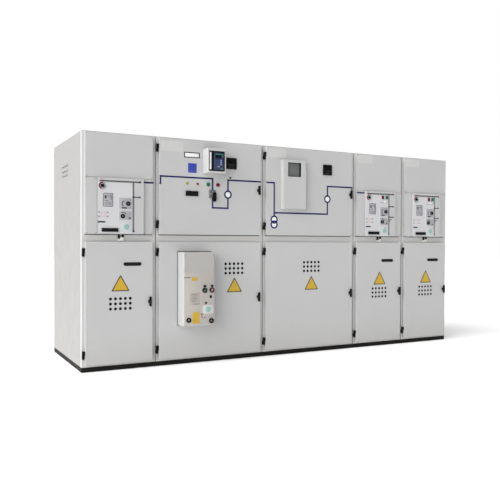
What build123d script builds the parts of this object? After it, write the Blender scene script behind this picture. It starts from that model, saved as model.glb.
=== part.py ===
from build123d import *
from math import sqrt
import os

# Medium voltage switchgear: a row of sheet-steel cubicles on one plinth.
# Millimetres. X runs along the row, Y into its depth, Z up from the floor.
# The origin is on the floor, at the middle of the row, under the front plinth rail.

os.makedirs("parts", exist_ok=True)

# The row, from left to right
bay_kinds = ["switch", "breaker", "metering", "switch", "switch"]
switch_bay_width = 600
breaker_bay_width = 1000
metering_bay_width = 1000
body_depth = 1086
joint_gap = 5
sheet = 2
rear_panel_setback = 3

# Sides of the polygons used for small round shapes
round_sides = 18
bar_end_sides = 16

# The plinth under the cubicles
plinth_height = 40
plinth_rail_width = 50
plinth_setback = 4

# Heights that stack up above the plinth
sill_height = 15
cable_door_height = 965
middle_rail_height = 60
drive_band_height = 440
panel_seam = 3
top_cover_height = 347
head_height = 10

# Front frame of each cubicle
post_depth = 30
post_lap = 9
left_strip = 22
right_strip = 33

# Doors and covers
door_projection = 28
door_gap = 5
door_edge_radius = 1.8

# Floor and shelf of the cable compartment
cable_slot_width = 260
shelf_lift = 25

# Vent grids of the cable doors, measured from the door's top
vent_diameter = 25
vent_pitch = 40
vent_columns = 5
vent_rows = 3
vent_sides = 12
switch_vent_drop = 491
breaker_vent_drop = 228
breaker_vent_place = 704
metering_vent_drop = 224
metering_vent_place = 503

# Inspection windows of the switch cubicles' cable doors
window_width = 146
window_height = 28
window_place = 398
window_drop = 178
window_rim = 3
window_fit = 0.5
window_depth = 9

# Hinges
hinge_height = 64
hinge_end_distance = 83
hinge_axis_place = 9
hinge_axis_projection = 16
hinge_barrel_radius = 9
hinge_pin_radius = 3
hinge_pin_clearance = 0.3
hinge_knuckle_gap = 0.4
hinge_arm_thickness = 8

# Wing knobs that turn the door locks
knob_edge_distance = 58
knob_length = 80
knob_bar_width = 16
knob_hub_radius = 15
knob_hub_taper = 8
knob_bar_lift = 12
knob_projection = 28
knob_boss_radius = 7
knob_boss_projection = 30
knob_stem_radius = 7
knob_stem_clearance = 0.3
knob_seat_gap = 0.3
knob_stem_reach = 6
knob_sides = 12

# Louvres high in the left end wall, measured down from the roof
louvre_length = 220
louvre_front_distance = 496
louvre_drops = [214, 257, 296]
louvre_height = 14
louvre_projection = 8

# Circuit breaker that stands through its cubicle's cable door
breaker_left = 185
breaker_width = 275
breaker_height = 604
breaker_drop = 83
breaker_projection = 130
breaker_inner_depth = 320
breaker_clearance = 6
breaker_edge_radius = 5
breaker_cover_height = 162
breaker_cover_margin = 6
breaker_cover_thickness = 3
stand_width = 215
stand_depth = 260

# Drive fronts of the switch cubicles
left_filler_width = 91
right_filler_width = 80
drive_projection = 20
face_plate_margin = 4
face_plate_right_strip = 95
face_plate_top_strip = 38
face_plate_thickness = 3
seat_width = 103
seat_edge_distance = 7
seat_thickness = 4
upper_seat_lift = 196
upper_seat_height = 90
lower_seat_lift = 112
lower_seat_height = 71

# Sockets for the operating lever, measured from the seat's right edge and down from its middle
socket_radius = 17
socket_hexagon = 8
socket_projection = 9
upper_socket_distance = 29
lower_socket_distance = 73
lower_socket_sink = 6

# Fittings on the drive face plates
dial_radius = 29
dial_thickness = 5
dial_place = 27
dial_drop = 64
pointer_width = 9
pointer_lift = 3
indicator_width = 130
indicator_height = 28
indicator_projection = 8
indicator_place = 24
indicator_lift = 18
button_width = 26
button_height = 34
button_projection = 8
button_drop = 59
red_button_distance = 71
green_button_distance = 22

# Interlock under each drive front: two legs of different length and a folded tab
interlock_width = 46
interlock_place = 286
interlock_leg = 14
left_leg_height = 36
right_leg_height = 25
interlock_tab_drop = 54
interlock_projection = 14
interlock_tab_projection = 8

# Instrument doors: round fittings
small_round_radius = 8.5
large_round_radius = 15
round_projection = 12
collar_radius_step = 1.5
collar_projection = 4
yellow_lamp_place = 265
red_lamp_place = 356
green_round_place = 457
red_round_place = 546
round_row_drop = 364

# Protection relay in its projecting case
relay_case_left = 410
relay_case_width = 166
relay_case_height = 206
relay_case_drop = 69
relay_projection = 100
relay_face_width = 145
relay_face_height = 169
relay_face_inset = 8
relay_face_thickness = 3
relay_face_sink = 3
relay_edge_radius = 3

# Panel meters
meter_side = 96
meter_place = 674
meter_drop = 175
meter_bezel_width = 9
meter_projection = 10
meter_recess = 4

# Recorder case on the metering cubicle
recorder_left = 172
recorder_width = 245
recorder_height = 442
recorder_drop = 110
recorder_projection = 40
recorder_window_left = 50
recorder_window_width = 138
recorder_window_height = 127
recorder_window_drop = 23
recorder_window_depth = 26
screen_thickness = 2

# Annunciator and control switch
annunciator_width = 111
annunciator_height = 42
annunciator_place = 308
annunciator_drop = 446
annunciator_projection = 9
switch_plate_width = 59
switch_plate_height = 67
switch_plate_projection = 12
switch_place = 493
switch_drop = 443
handle_width = 28
handle_length = 80
handle_projection = 20
handle_offset = 13

# Fittings on the circuit breaker's front, from its left edge and its top or bottom
guard_outer_radius = 22
guard_inner_radius = 16
guard_projection = 8
cap_radius = 13
cap_projection = 6
push_row_drop = 315
green_cap_place = 185
red_cap_place = 250
hasp_width = 20
hasp_height = 16
hasp_drop = 280
breaker_socket_radius = 21
breaker_socket_bore = 10
breaker_socket_projection = 8
charging_socket_place = 43
charging_socket_lift = 49
racking_socket_place = 245
racking_socket_lift = 36
flag_thickness = 2
small_flag_place = 95
small_flag_drop = 221
small_flag_width = 50
small_flag_height = 28
large_flag_place = 108
large_flag_lift = 66
large_flag_width = 63
large_flag_height = 94

# Cubicle places and levels that follow from the sizes above
width_of_kind = {
    "switch": switch_bay_width,
    "breaker": breaker_bay_width,
    "metering": metering_bay_width,
}
bay_widths = [width_of_kind[kind] for kind in bay_kinds]
row_width = sum(bay_widths)
bay_lefts = [sum(bay_widths[:n]) - row_width / 2 for n in range(len(bay_kinds))]
bays = list(range(len(bay_kinds)))
switch_bays = [n for n in bays if bay_kinds[n] == "switch"]
motor_bays = switch_bays[1:]
breaker_bay = bay_kinds.index("breaker")
metering_bay = bay_kinds.index("metering")
instrument_bays = [breaker_bay, metering_bay]

front = -plinth_setback - plinth_rail_width / 2
back = front + body_depth
frame_back = front + post_depth
rear_face = back - rear_panel_setback
door_face = front - door_projection
door_back = front - door_gap

door_bottom = plinth_height + sill_height
cable_door_top = door_bottom + cable_door_height
band_bottom = cable_door_top + middle_rail_height
band_top = band_bottom + drive_band_height
cover_bottom = band_top + panel_seam
upper_top = cover_bottom + top_cover_height
body_height = upper_top + head_height
roof_underside = body_height - sheet


def slab(x, y, z, mode=Mode.ADD):
    """Fill the ranges x, y and z of the part being built with a block."""
    with Locations(((x[0] + x[1]) / 2, (y[0] + y[1]) / 2, (z[0] + z[1]) / 2)):
        Box(x[1] - x[0], y[1] - y[0], z[1] - z[0], mode=mode)


def tray(x, z, face, rear):
    """Fold a sheet into a tray with a flat face and four edges turned back."""
    slab(x, (face, rear), z)
    slab(
        (x[0] + sheet, x[1] - sheet),
        (face + sheet, rear),
        (z[0] + sheet, z[1] - sheet),
        mode=Mode.SUBTRACT,
    )


def facing(x, y, z):
    """Plane at a point of the front, looking out of the row."""
    return Plane(origin=(x, y, z), x_dir=(1, 0, 0), z_dir=(0, -1, 0))


def finish(builder, name):
    """Name a finished piece and write it to its own file."""
    builder.part.label = name
    export_step(builder.part, f"parts/{name}.step")


def around(middle, width):
    """Range of a width around its middle."""
    return middle - width / 2, middle + width / 2


def body_span(n):
    """Range of x of the body of cubicle n, with half the joint left open to each neighbour."""
    low = bay_lefts[n] + (joint_gap / 2 if n > 0 else 0)
    high = bay_lefts[n] + bay_widths[n] - (joint_gap / 2 if n < len(bays) - 1 else 0)
    return low, high


def inner_span(n):
    """Range of x between the side walls of cubicle n."""
    low, high = body_span(n)
    return low + sheet, high - sheet


def panel_span(n):
    """Range of x of the doors and covers of cubicle n."""
    return bay_lefts[n] + left_strip, bay_lefts[n] + bay_widths[n] - right_strip


def rail_span(n):
    """Range of x between the front posts of cubicle n."""
    low, high = panel_span(n)
    return low + post_lap, high - post_lap


def rounded_bar(width, height):
    """Add a bar with round ends to the sketch being built."""
    side = min(width, height)
    reach_x = (width - side) / 2
    reach_y = (height - side) / 2
    Rectangle(2 * reach_x or side, 2 * reach_y or side)
    with Locations((reach_x, reach_y), (-reach_x, -reach_y)):
        RegularPolygon(side / 2, bar_end_sides, major_radius=False, rotation=180 / bar_end_sides)


# Plinth: two long rails carry the whole row and tie its cubicles together
with BuildPart() as plinth_long_rails:
    row_x = (-row_width / 2, row_width / 2)
    front_rail_y = (front + plinth_setback, front + plinth_setback + plinth_rail_width)
    rear_rail_y = (back - plinth_setback - plinth_rail_width, back - plinth_setback)
    slab(row_x, front_rail_y, (0, plinth_height))
    slab(row_x, rear_rail_y, (0, plinth_height))
finish(plinth_long_rails, "plinth_long_rails")

with BuildPart() as plinth_cross_rails:
    for n in bays:
        low, high = body_span(n)
        for start in (low, high - plinth_rail_width):
            slab((start, start + plinth_rail_width), (front_rail_y[1], rear_rail_y[0]), (0, plinth_height))
finish(plinth_cross_rails, "plinth_cross_rails")

# Side walls: the left end wall has pressed louvres
wall_y = (frame_back, back)
wall_z = (plinth_height, roof_underside)

with BuildPart() as left_end_wall:
    outside = bay_lefts[0]
    slab((outside, outside + sheet), wall_y, wall_z)
    for drop in louvre_drops:
        low_edge = body_height - drop - louvre_height / 2
        high_edge = low_edge + louvre_height
        hood_start = front + louvre_front_distance
        with BuildSketch(Plane.XZ.offset(-hood_start)):
            with BuildLine():
                Polyline(
                    (outside, high_edge),
                    (outside - louvre_projection, low_edge + sheet),
                    (outside - louvre_projection, low_edge),
                    (outside + sheet, low_edge),
                    (outside + sheet, high_edge),
                    close=True,
                )
            make_face()
        extrude(amount=-louvre_length)
        slab(
            (outside - louvre_projection + sheet, outside + sheet),
            (hood_start + sheet, hood_start + louvre_length - sheet),
            (low_edge, low_edge + sheet),
            mode=Mode.SUBTRACT,
        )
finish(left_end_wall, "left_end_wall")

with BuildPart() as left_side_walls:
    for n in bays[1:]:
        low = body_span(n)[0]
        slab((low, low + sheet), wall_y, wall_z)
finish(left_side_walls, "left_side_walls")

with BuildPart() as right_side_walls:
    for n in bays:
        high = body_span(n)[1]
        slab((high - sheet, high), wall_y, wall_z)
finish(right_side_walls, "right_side_walls")

# Front frame: folded posts and the folded rails between them
with BuildPart() as front_posts:
    for n in bays:
        low, high = body_span(n)
        rail_low, rail_high = rail_span(n)
        tray((low, rail_low), wall_z, front, frame_back)
        tray((rail_high, high), wall_z, front, frame_back)
finish(front_posts, "front_posts")

with BuildPart() as front_rails:
    for n in bays:
        tray(rail_span(n), (plinth_height, door_bottom + post_lap), front, frame_back)
        tray(rail_span(n), (cable_door_top - post_lap, band_bottom + post_lap), front, frame_back)
        tray(rail_span(n), (upper_top - post_lap, roof_underside), front, frame_back)
finish(front_rails, "front_rails")

# Back, roof, floor and shelf: the rear panels sit a little inside the walls' edges
with BuildPart() as rear_panels:
    for n in bays:
        slab(inner_span(n), (rear_face - sheet, rear_face), wall_z)
finish(rear_panels, "rear_panels")

with BuildPart() as roof_panels:
    for n in bays:
        slab(body_span(n), (front, back), (roof_underside, body_height))
finish(roof_panels, "roof_panels")

with BuildPart() as floor_plates:
    floor_z = (plinth_height, plinth_height + sheet)
    slot_y = around((front + back) / 2, cable_slot_width)
    for n in bays:
        slab(inner_span(n), (frame_back, slot_y[0]), floor_z)
        slab(inner_span(n), (slot_y[1], rear_face - sheet), floor_z)
finish(floor_plates, "floor_plates")

with BuildPart() as shelf_plates:
    shelf_top = cable_door_top + shelf_lift
    for n in bays:
        slab(inner_span(n), (frame_back, rear_face - sheet), (shelf_top - sheet, shelf_top))
finish(shelf_plates, "shelf_plates")

# Hinges: the fixed half carries the pin, the moving half turns on it
hinge_axis_y = front - hinge_axis_projection
knuckle_height = (hinge_height - hinge_knuckle_gap) / 2
arm_reach = left_strip - hinge_axis_place
arm_middle = -(door_projection - hinge_axis_projection) / 2

with BuildPart() as fixed_half:
    with BuildSketch():
        RegularPolygon(hinge_barrel_radius, 8, major_radius=False, rotation=22.5)
        with Locations((0, hinge_axis_projection / 2)):
            Rectangle(2 * hinge_barrel_radius, hinge_axis_projection)
    extrude(amount=knuckle_height)
    with BuildSketch():
        RegularPolygon(hinge_pin_radius, 8)
    extrude(amount=hinge_height)

with BuildPart() as moving_half:
    with BuildSketch(Plane.XY.offset(knuckle_height + hinge_knuckle_gap)):
        RegularPolygon(hinge_barrel_radius, 8, major_radius=False, rotation=22.5)
        with Locations((arm_reach / 2, arm_middle)):
            Rectangle(arm_reach, hinge_arm_thickness)
        RegularPolygon(hinge_pin_radius + hinge_pin_clearance, 8, major_radius=False, mode=Mode.SUBTRACT)
    extrude(amount=knuckle_height)


def hinge_levels(bottom, top):
    """Undersides of the two hinges of a door between two levels."""
    lowest = bottom + hinge_end_distance - hinge_height / 2
    highest = top - hinge_end_distance - hinge_height / 2
    return lowest, highest


def hinge_places(n, levels):
    """Points of the hinge axis of cubicle n at each hinge's underside."""
    return [(bay_lefts[n] + hinge_axis_place, hinge_axis_y, level) for level in levels]


cable_hinge_levels = hinge_levels(door_bottom, cable_door_top)
upper_hinge_levels = hinge_levels(band_bottom, upper_top)

with BuildPart() as fixed_hinge_halves:
    for n in bays:
        with Locations(hinge_places(n, cable_hinge_levels)):
            add(fixed_half.part)
finish(fixed_hinge_halves, "fixed_hinge_halves")

with BuildPart() as upper_hinges:
    for n in instrument_bays:
        with Locations(hinge_places(n, upper_hinge_levels)):
            add(fixed_half.part)
            add(moving_half.part)
finish(upper_hinges, "upper_hinges")

# Wing knob: a tapered hub under a bar with round ends, and a stem through the door
with BuildPart() as knob:
    with BuildSketch(facing(0, -knob_seat_gap, 0)):
        RegularPolygon(knob_hub_radius, knob_sides)
    extrude(amount=knob_bar_lift - knob_seat_gap, taper=knob_hub_taper)
    with BuildSketch(facing(0, -knob_bar_lift, 0)):
        rounded_bar(knob_bar_width, knob_length)
    extrude(amount=knob_projection - knob_bar_lift)
    with BuildSketch(facing(0, -knob_projection, 0)):
        RegularPolygon(knob_boss_radius, knob_sides)
    extrude(amount=knob_boss_projection - knob_projection)
    with BuildSketch(facing(0, sheet + knob_stem_reach, 0)):
        RegularPolygon(knob_stem_radius, 8)
    extrude(amount=sheet + knob_stem_reach + knob_seat_gap)


def knob_place(n, bottom, top):
    """Where the knob of a door between two levels sits on the door's face."""
    return bay_lefts[n] + bay_widths[n] - knob_edge_distance, door_face, (bottom + top) / 2


# Cable doors with their hinge halves, inspection windows and knobs
vent_places = {
    "switch": (switch_bay_width / 2, switch_vent_drop),
    "breaker": (breaker_vent_place, breaker_vent_drop),
    "metering": (metering_vent_place, metering_vent_drop),
}
breaker_x = (bay_lefts[breaker_bay] + breaker_left, bay_lefts[breaker_bay] + breaker_left + breaker_width)
breaker_z = (cable_door_top - breaker_drop - breaker_height, cable_door_top - breaker_drop)
breaker_face = door_face - breaker_projection

# The door's cut-out clears the breaker's front corner while it swings
corner_x = breaker_left + breaker_width - hinge_axis_place
corner_y = door_projection + breaker_projection - hinge_axis_projection
swing_radius = sqrt(corner_x**2 + corner_y**2) + breaker_clearance
cutout_x = (breaker_x[0] - breaker_clearance, bay_lefts[breaker_bay] + hinge_axis_place + swing_radius)
cutout_z = (breaker_z[0] - breaker_clearance, breaker_z[1] + breaker_clearance)

for n in bays:
    vent_place, vent_drop = vent_places[bay_kinds[n]]
    window_plane = facing(bay_lefts[n] + window_place, door_face, cable_door_top - window_drop)
    with BuildPart() as cable_door:
        tray(panel_span(n), (door_bottom, cable_door_top), door_face, door_back)
        fillet(cable_door.faces().sort_by(Axis.Y)[0].edges(), door_edge_radius)
        with BuildSketch(facing(bay_lefts[n] + vent_place, door_face, cable_door_top - vent_drop)):
            with GridLocations(vent_pitch, vent_pitch, vent_columns, vent_rows):
                RegularPolygon(vent_diameter / 2, vent_sides)
        extrude(amount=-sheet, mode=Mode.SUBTRACT)
        with BuildSketch(facing(*knob_place(n, door_bottom, cable_door_top))):
            RegularPolygon(knob_stem_radius + knob_stem_clearance, knob_sides, major_radius=False)
        extrude(amount=-sheet, mode=Mode.SUBTRACT)
        if n in switch_bays:
            with BuildSketch(window_plane):
                rounded_bar(window_width - 2 * window_rim, window_height - 2 * window_rim)
            extrude(amount=-sheet, mode=Mode.SUBTRACT)
        if n == breaker_bay:
            slab(
                (cutout_x[0] - sheet, cutout_x[1] + sheet),
                (door_face + sheet, door_back),
                (cutout_z[0] - sheet, cutout_z[1] + sheet),
            )
            slab(cutout_x, (door_face, door_back), cutout_z, mode=Mode.SUBTRACT)
    finish(cable_door, f"cable_door_{n + 1}")

    with BuildPart() as door_hinge_halves:
        with Locations(hinge_places(n, cable_hinge_levels)):
            add(moving_half.part)
    finish(door_hinge_halves, f"door_hinge_halves_{n + 1}")

    with BuildPart() as wing_knob:
        with Locations(knob_place(n, door_bottom, cable_door_top)):
            add(knob.part)
    finish(wing_knob, f"wing_knob_{n + 1}")

    if n in switch_bays:
        with BuildPart() as inspection_window:
            with BuildSketch(window_plane):
                rounded_bar(window_width, window_height)
            extrude(amount=window_rim)
            with BuildSketch(window_plane):
                inset = 2 * (window_rim + window_fit)
                rounded_bar(window_width - inset, window_height - inset)
            extrude(amount=-window_depth)
        finish(inspection_window, f"inspection_window_{n + 1}")

# Circuit breaker with its stand on the cubicle's floor
with BuildPart() as breaker_housing:
    slab(breaker_x, (breaker_face, front + breaker_inner_depth), breaker_z)
    fillet(breaker_housing.faces().sort_by(Axis.Y)[0].edges(), breaker_edge_radius)
finish(breaker_housing, "breaker_housing")

with BuildPart() as breaker_cover_plate:
    cover_top = breaker_z[1] - breaker_cover_margin
    slab(
        (breaker_x[0] + breaker_cover_margin, breaker_x[1] - breaker_cover_margin),
        (breaker_face - breaker_cover_thickness, breaker_face),
        (cover_top - breaker_cover_height, cover_top),
    )
finish(breaker_cover_plate, "breaker_cover_plate")

with BuildPart() as breaker_stand:
    stand_back = front + breaker_inner_depth
    slab(
        around((breaker_x[0] + breaker_x[1]) / 2, stand_width),
        (stand_back - stand_depth, stand_back),
        (plinth_height + sheet, breaker_z[0]),
    )
finish(breaker_stand, "breaker_stand")


def on_breaker(place, drop):
    """Plane on the breaker's front, from its left edge and top."""
    return facing(breaker_x[0] + place, breaker_face, breaker_z[1] - drop)


def low_on_breaker(place, lift):
    """Plane on the breaker's front, from its left edge and bottom."""
    return facing(breaker_x[0] + place, breaker_face, breaker_z[0] + lift)


with BuildPart() as breaker_fittings:
    for place in (green_cap_place, red_cap_place):
        with BuildSketch(on_breaker(place, push_row_drop)):
            RegularPolygon(guard_outer_radius, round_sides)
            RegularPolygon(guard_inner_radius, round_sides, mode=Mode.SUBTRACT)
        extrude(amount=guard_projection)
        with BuildSketch(on_breaker(place, hasp_drop)):
            Rectangle(hasp_width, hasp_height)
        extrude(amount=guard_projection)
    sockets = [(charging_socket_place, charging_socket_lift), (racking_socket_place, racking_socket_lift)]
    for place, lift in sockets:
        with BuildSketch(low_on_breaker(place, lift)):
            RegularPolygon(breaker_socket_radius, round_sides)
            RegularPolygon(breaker_socket_bore, 6, mode=Mode.SUBTRACT)
        extrude(amount=breaker_socket_projection)
finish(breaker_fittings, "breaker_fittings")

with BuildPart() as breaker_flags:
    with BuildSketch(on_breaker(small_flag_place, small_flag_drop)):
        Rectangle(small_flag_width, small_flag_height)
    extrude(amount=flag_thickness)
    with BuildSketch(low_on_breaker(large_flag_place, large_flag_lift)):
        Rectangle(large_flag_width, large_flag_height)
    extrude(amount=flag_thickness)
finish(breaker_flags, "breaker_flags")

# Covers of the switch cubicles
with BuildPart() as top_covers:
    for n in switch_bays:
        tray(panel_span(n), (cover_bottom, upper_top), door_face, front)
finish(top_covers, "top_covers")

band_z = (band_bottom, band_top)


def drive_span(n):
    """Range of x of the drive cover of cubicle n, between its two filler plates."""
    low, high = panel_span(n)
    return low + left_filler_width + panel_seam, high - right_filler_width - panel_seam


with BuildPart() as filler_plates:
    for n in switch_bays:
        panel_low, panel_high = panel_span(n)
        tray((panel_low, panel_low + left_filler_width), band_z, door_face, front)
        tray((panel_high - right_filler_width, panel_high), band_z, door_face, front)
finish(filler_plates, "filler_plates")

drive_face = door_face - drive_projection
plate_face = drive_face - face_plate_thickness
seat_face = plate_face - seat_thickness

with BuildPart() as drive_covers:
    for n in switch_bays:
        tray(drive_span(n), band_z, drive_face, front)
finish(drive_covers, "drive_covers")


def plate_span(n):
    """Range of x of the face plate on the drive cover of cubicle n."""
    low, high = drive_span(n)
    return low + face_plate_margin, high - face_plate_right_strip


def seat_span(n):
    """Range of x of the raised seats on the face plate of cubicle n."""
    right = plate_span(n)[1] - seat_edge_distance
    return right - seat_width, right


lower_seat_z = (band_bottom + lower_seat_lift, band_bottom + lower_seat_lift + lower_seat_height)
upper_seat_z = (band_bottom + upper_seat_lift, band_bottom + upper_seat_lift + upper_seat_height)

with BuildPart() as drive_face_plates:
    plate_z = (band_bottom + face_plate_margin, band_top - face_plate_top_strip)
    for n in switch_bays:
        slab(plate_span(n), (plate_face, drive_face), plate_z)
        slab(seat_span(n), (seat_face, plate_face), lower_seat_z)
        slab(seat_span(n), (seat_face, plate_face), upper_seat_z)
finish(drive_face_plates, "drive_face_plates")

with BuildPart() as drive_sockets:
    for n in switch_bays:
        seat_right = seat_span(n)[1]
        upper_place = (seat_right - upper_socket_distance, seat_face, sum(upper_seat_z) / 2)
        lower_level = sum(lower_seat_z) / 2 - lower_socket_sink
        lower_place = (seat_right - lower_socket_distance, seat_face, lower_level)
        for place in (upper_place, lower_place):
            with BuildSketch(facing(*place)):
                RegularPolygon(socket_radius, round_sides)
                RegularPolygon(socket_hexagon, 6, mode=Mode.SUBTRACT)
            extrude(amount=socket_projection)
finish(drive_sockets, "drive_sockets")

with BuildPart() as position_dials:
    for n in switch_bays:
        dial_x = plate_span(n)[0] + dial_place
        with BuildSketch(facing(dial_x, plate_face, band_top - dial_drop)):
            RegularPolygon(dial_radius, round_sides)
        extrude(amount=dial_thickness)
        with BuildSketch(facing(dial_x, plate_face - dial_thickness, band_top - dial_drop)):
            Rectangle(pointer_width, dial_radius, rotation=-30)
        extrude(amount=pointer_lift)
finish(position_dials, "position_dials")

with BuildPart() as voltage_indicators:
    for n in switch_bays:
        low = plate_span(n)[0] + indicator_place
        bottom = band_bottom + indicator_lift
        slab(
            (low, low + indicator_width),
            (plate_face - indicator_projection, plate_face),
            (bottom, bottom + indicator_height),
        )
finish(voltage_indicators, "voltage_indicators")

# Interlock: the legs hang under the drive front, and the tab hangs from the legs
with BuildPart() as interlock_brackets:
    for n in switch_bays:
        low = bay_lefts[n] + interlock_place
        high = low + interlock_width
        leg_y = (front - interlock_projection, front)
        slab((low, low + interlock_leg), leg_y, (band_bottom - left_leg_height, band_bottom))
        slab((high - interlock_leg, high), leg_y, (band_bottom - right_leg_height, band_bottom))
finish(interlock_brackets, "interlock_brackets")

with BuildPart() as interlock_tabs:
    for n in switch_bays:
        low = bay_lefts[n] + interlock_place
        high = low + interlock_width
        tab_y = (front - interlock_tab_projection, front)
        tab_bottom = band_bottom - interlock_tab_drop
        slab((low, high), tab_y, (tab_bottom, band_bottom - left_leg_height))
        slab((low + interlock_leg, high), tab_y, (tab_bottom, band_bottom - right_leg_height))
finish(interlock_tabs, "interlock_tabs")

# Instrument doors
for n in instrument_bays:
    with BuildPart() as instrument_door:
        tray(panel_span(n), (band_bottom, upper_top), door_face, door_back)
        fillet(instrument_door.faces().sort_by(Axis.Y)[0].edges(), door_edge_radius)
        with BuildSketch(facing(*knob_place(n, band_bottom, upper_top))):
            RegularPolygon(knob_stem_radius + knob_stem_clearance, knob_sides, major_radius=False)
        extrude(amount=-sheet, mode=Mode.SUBTRACT)
    finish(instrument_door, f"instrument_door_{n + 1}")

with BuildPart() as upper_knobs:
    for n in instrument_bays:
        with Locations(knob_place(n, band_bottom, upper_top)):
            add(knob.part)
finish(upper_knobs, "upper_knobs")


def on_door(n, place, drop):
    """Plane on the instrument door of cubicle n, from the cubicle's left edge and the door's top."""
    return facing(bay_lefts[n] + place, door_face, upper_top - drop)


def collared_round(plane, radius):
    """Round fitting with a wider collar around its foot."""
    with BuildSketch(plane) as foot:
        RegularPolygon(radius + collar_radius_step, round_sides)
    extrude(foot.sketch, amount=collar_projection)
    with BuildSketch(plane) as cap:
        RegularPolygon(radius, round_sides)
    extrude(cap.sketch, amount=round_projection)


with BuildPart() as signal_lamps:
    for place in (yellow_lamp_place, red_lamp_place):
        collared_round(on_door(breaker_bay, place, round_row_drop), small_round_radius)
finish(signal_lamps, "signal_lamps")

# Red and green push buttons on the switch drives, the instrument door and the breaker
for name, door_place, drive_distance, breaker_place in (
    ("red_buttons", red_round_place, red_button_distance, red_cap_place),
    ("green_buttons", green_round_place, green_button_distance, green_cap_place),
):
    with BuildPart() as buttons:
        collared_round(on_door(breaker_bay, door_place, round_row_drop), large_round_radius)
        for n in motor_bays:
            button_x = plate_span(n)[1] - drive_distance
            slab(
                around(button_x, button_width),
                (plate_face - button_projection, plate_face),
                around(band_top - button_drop, button_height),
            )
        with BuildSketch(on_breaker(breaker_place, push_row_drop)):
            RegularPolygon(cap_radius, round_sides)
        extrude(amount=cap_projection)
    finish(buttons, name)

# Protection relay behind a window in its case
with BuildPart() as relay_case:
    relay_x = (
        bay_lefts[breaker_bay] + relay_case_left,
        bay_lefts[breaker_bay] + relay_case_left + relay_case_width,
    )
    relay_z = (upper_top - relay_case_drop - relay_case_height, upper_top - relay_case_drop)
    relay_front = door_face - relay_projection
    slab(relay_x, (relay_front, door_face), relay_z)
    fillet(relay_case.faces().sort_by(Axis.Y)[0].edges(), relay_edge_radius)
    relay_window_x = around(sum(relay_x) / 2, relay_face_width)
    relay_window_z = around(sum(relay_z) / 2 - relay_face_sink, relay_face_height)
    window_back = relay_front + relay_face_inset
    slab(relay_window_x, (relay_front, window_back), relay_window_z, mode=Mode.SUBTRACT)
finish(relay_case, "relay_case")

with BuildPart() as relay_face:
    slab(relay_window_x, (window_back - relay_face_thickness, window_back), relay_window_z)
finish(relay_face, "relay_face")

# Panel meters with a recessed face inside a square bezel
with BuildPart() as panel_meters:
    for n in instrument_bays:
        with BuildSketch(on_door(n, meter_place, meter_drop)):
            Rectangle(meter_side, meter_side)
        extrude(amount=meter_projection)
        with BuildSketch(on_door(n, meter_place, meter_drop).offset(meter_projection)):
            Rectangle(meter_side - 2 * meter_bezel_width, meter_side - 2 * meter_bezel_width)
        extrude(amount=-meter_recess, mode=Mode.SUBTRACT)
finish(panel_meters, "panel_meters")

# Recorder case with its screen behind a window
with BuildPart() as recorder_case:
    recorder_x = (
        bay_lefts[metering_bay] + recorder_left,
        bay_lefts[metering_bay] + recorder_left + recorder_width,
    )
    recorder_z = (upper_top - recorder_drop - recorder_height, upper_top - recorder_drop)
    recorder_front = door_face - recorder_projection
    recess_x = (
        recorder_x[0] + recorder_window_left,
        recorder_x[0] + recorder_window_left + recorder_window_width,
    )
    recess_z = (
        recorder_z[1] - recorder_window_drop - recorder_window_height,
        recorder_z[1] - recorder_window_drop,
    )
    slab(recorder_x, (recorder_front, door_face), recorder_z)
    fillet(recorder_case.faces().sort_by(Axis.Y)[0].edges(), relay_edge_radius)
    slab(recess_x, (recorder_front, recorder_front + recorder_window_depth), recess_z, mode=Mode.SUBTRACT)
finish(recorder_case, "recorder_case")

with BuildPart() as recorder_screen:
    recess_back = recorder_front + recorder_window_depth
    slab(recess_x, (recess_back - screen_thickness, recess_back), recess_z)
finish(recorder_screen, "recorder_screen")

# Annunciator, and the control switch with its handle
with BuildPart() as annunciator:
    with BuildSketch(on_door(breaker_bay, annunciator_place, annunciator_drop)):
        Rectangle(annunciator_width, annunciator_height)
    extrude(amount=annunciator_projection)
    fillet(annunciator.faces().sort_by(Axis.Y)[0].edges(), door_edge_radius)
finish(annunciator, "annunciator")

with BuildPart() as control_switch_plate:
    with BuildSketch(on_door(breaker_bay, switch_place, switch_drop)):
        Rectangle(switch_plate_width, switch_plate_height)
    extrude(amount=switch_plate_projection)
    fillet(control_switch_plate.faces().sort_by(Axis.Y)[0].edges(), door_edge_radius)
finish(control_switch_plate, "control_switch_plate")

with BuildPart() as control_switch_handle:
    handle_x = switch_place + handle_offset
    handle_drop = switch_drop + handle_length / 2 - handle_width / 2
    with BuildSketch(on_door(breaker_bay, handle_x, handle_drop).offset(switch_plate_projection)):
        rounded_bar(handle_width, handle_length)
    extrude(amount=handle_projection)
finish(control_switch_handle, "control_switch_handle")
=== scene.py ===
from math import cos, pi, radians, sin, sqrt

import bpy
from mathutils import Euler, Matrix, Vector


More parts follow.
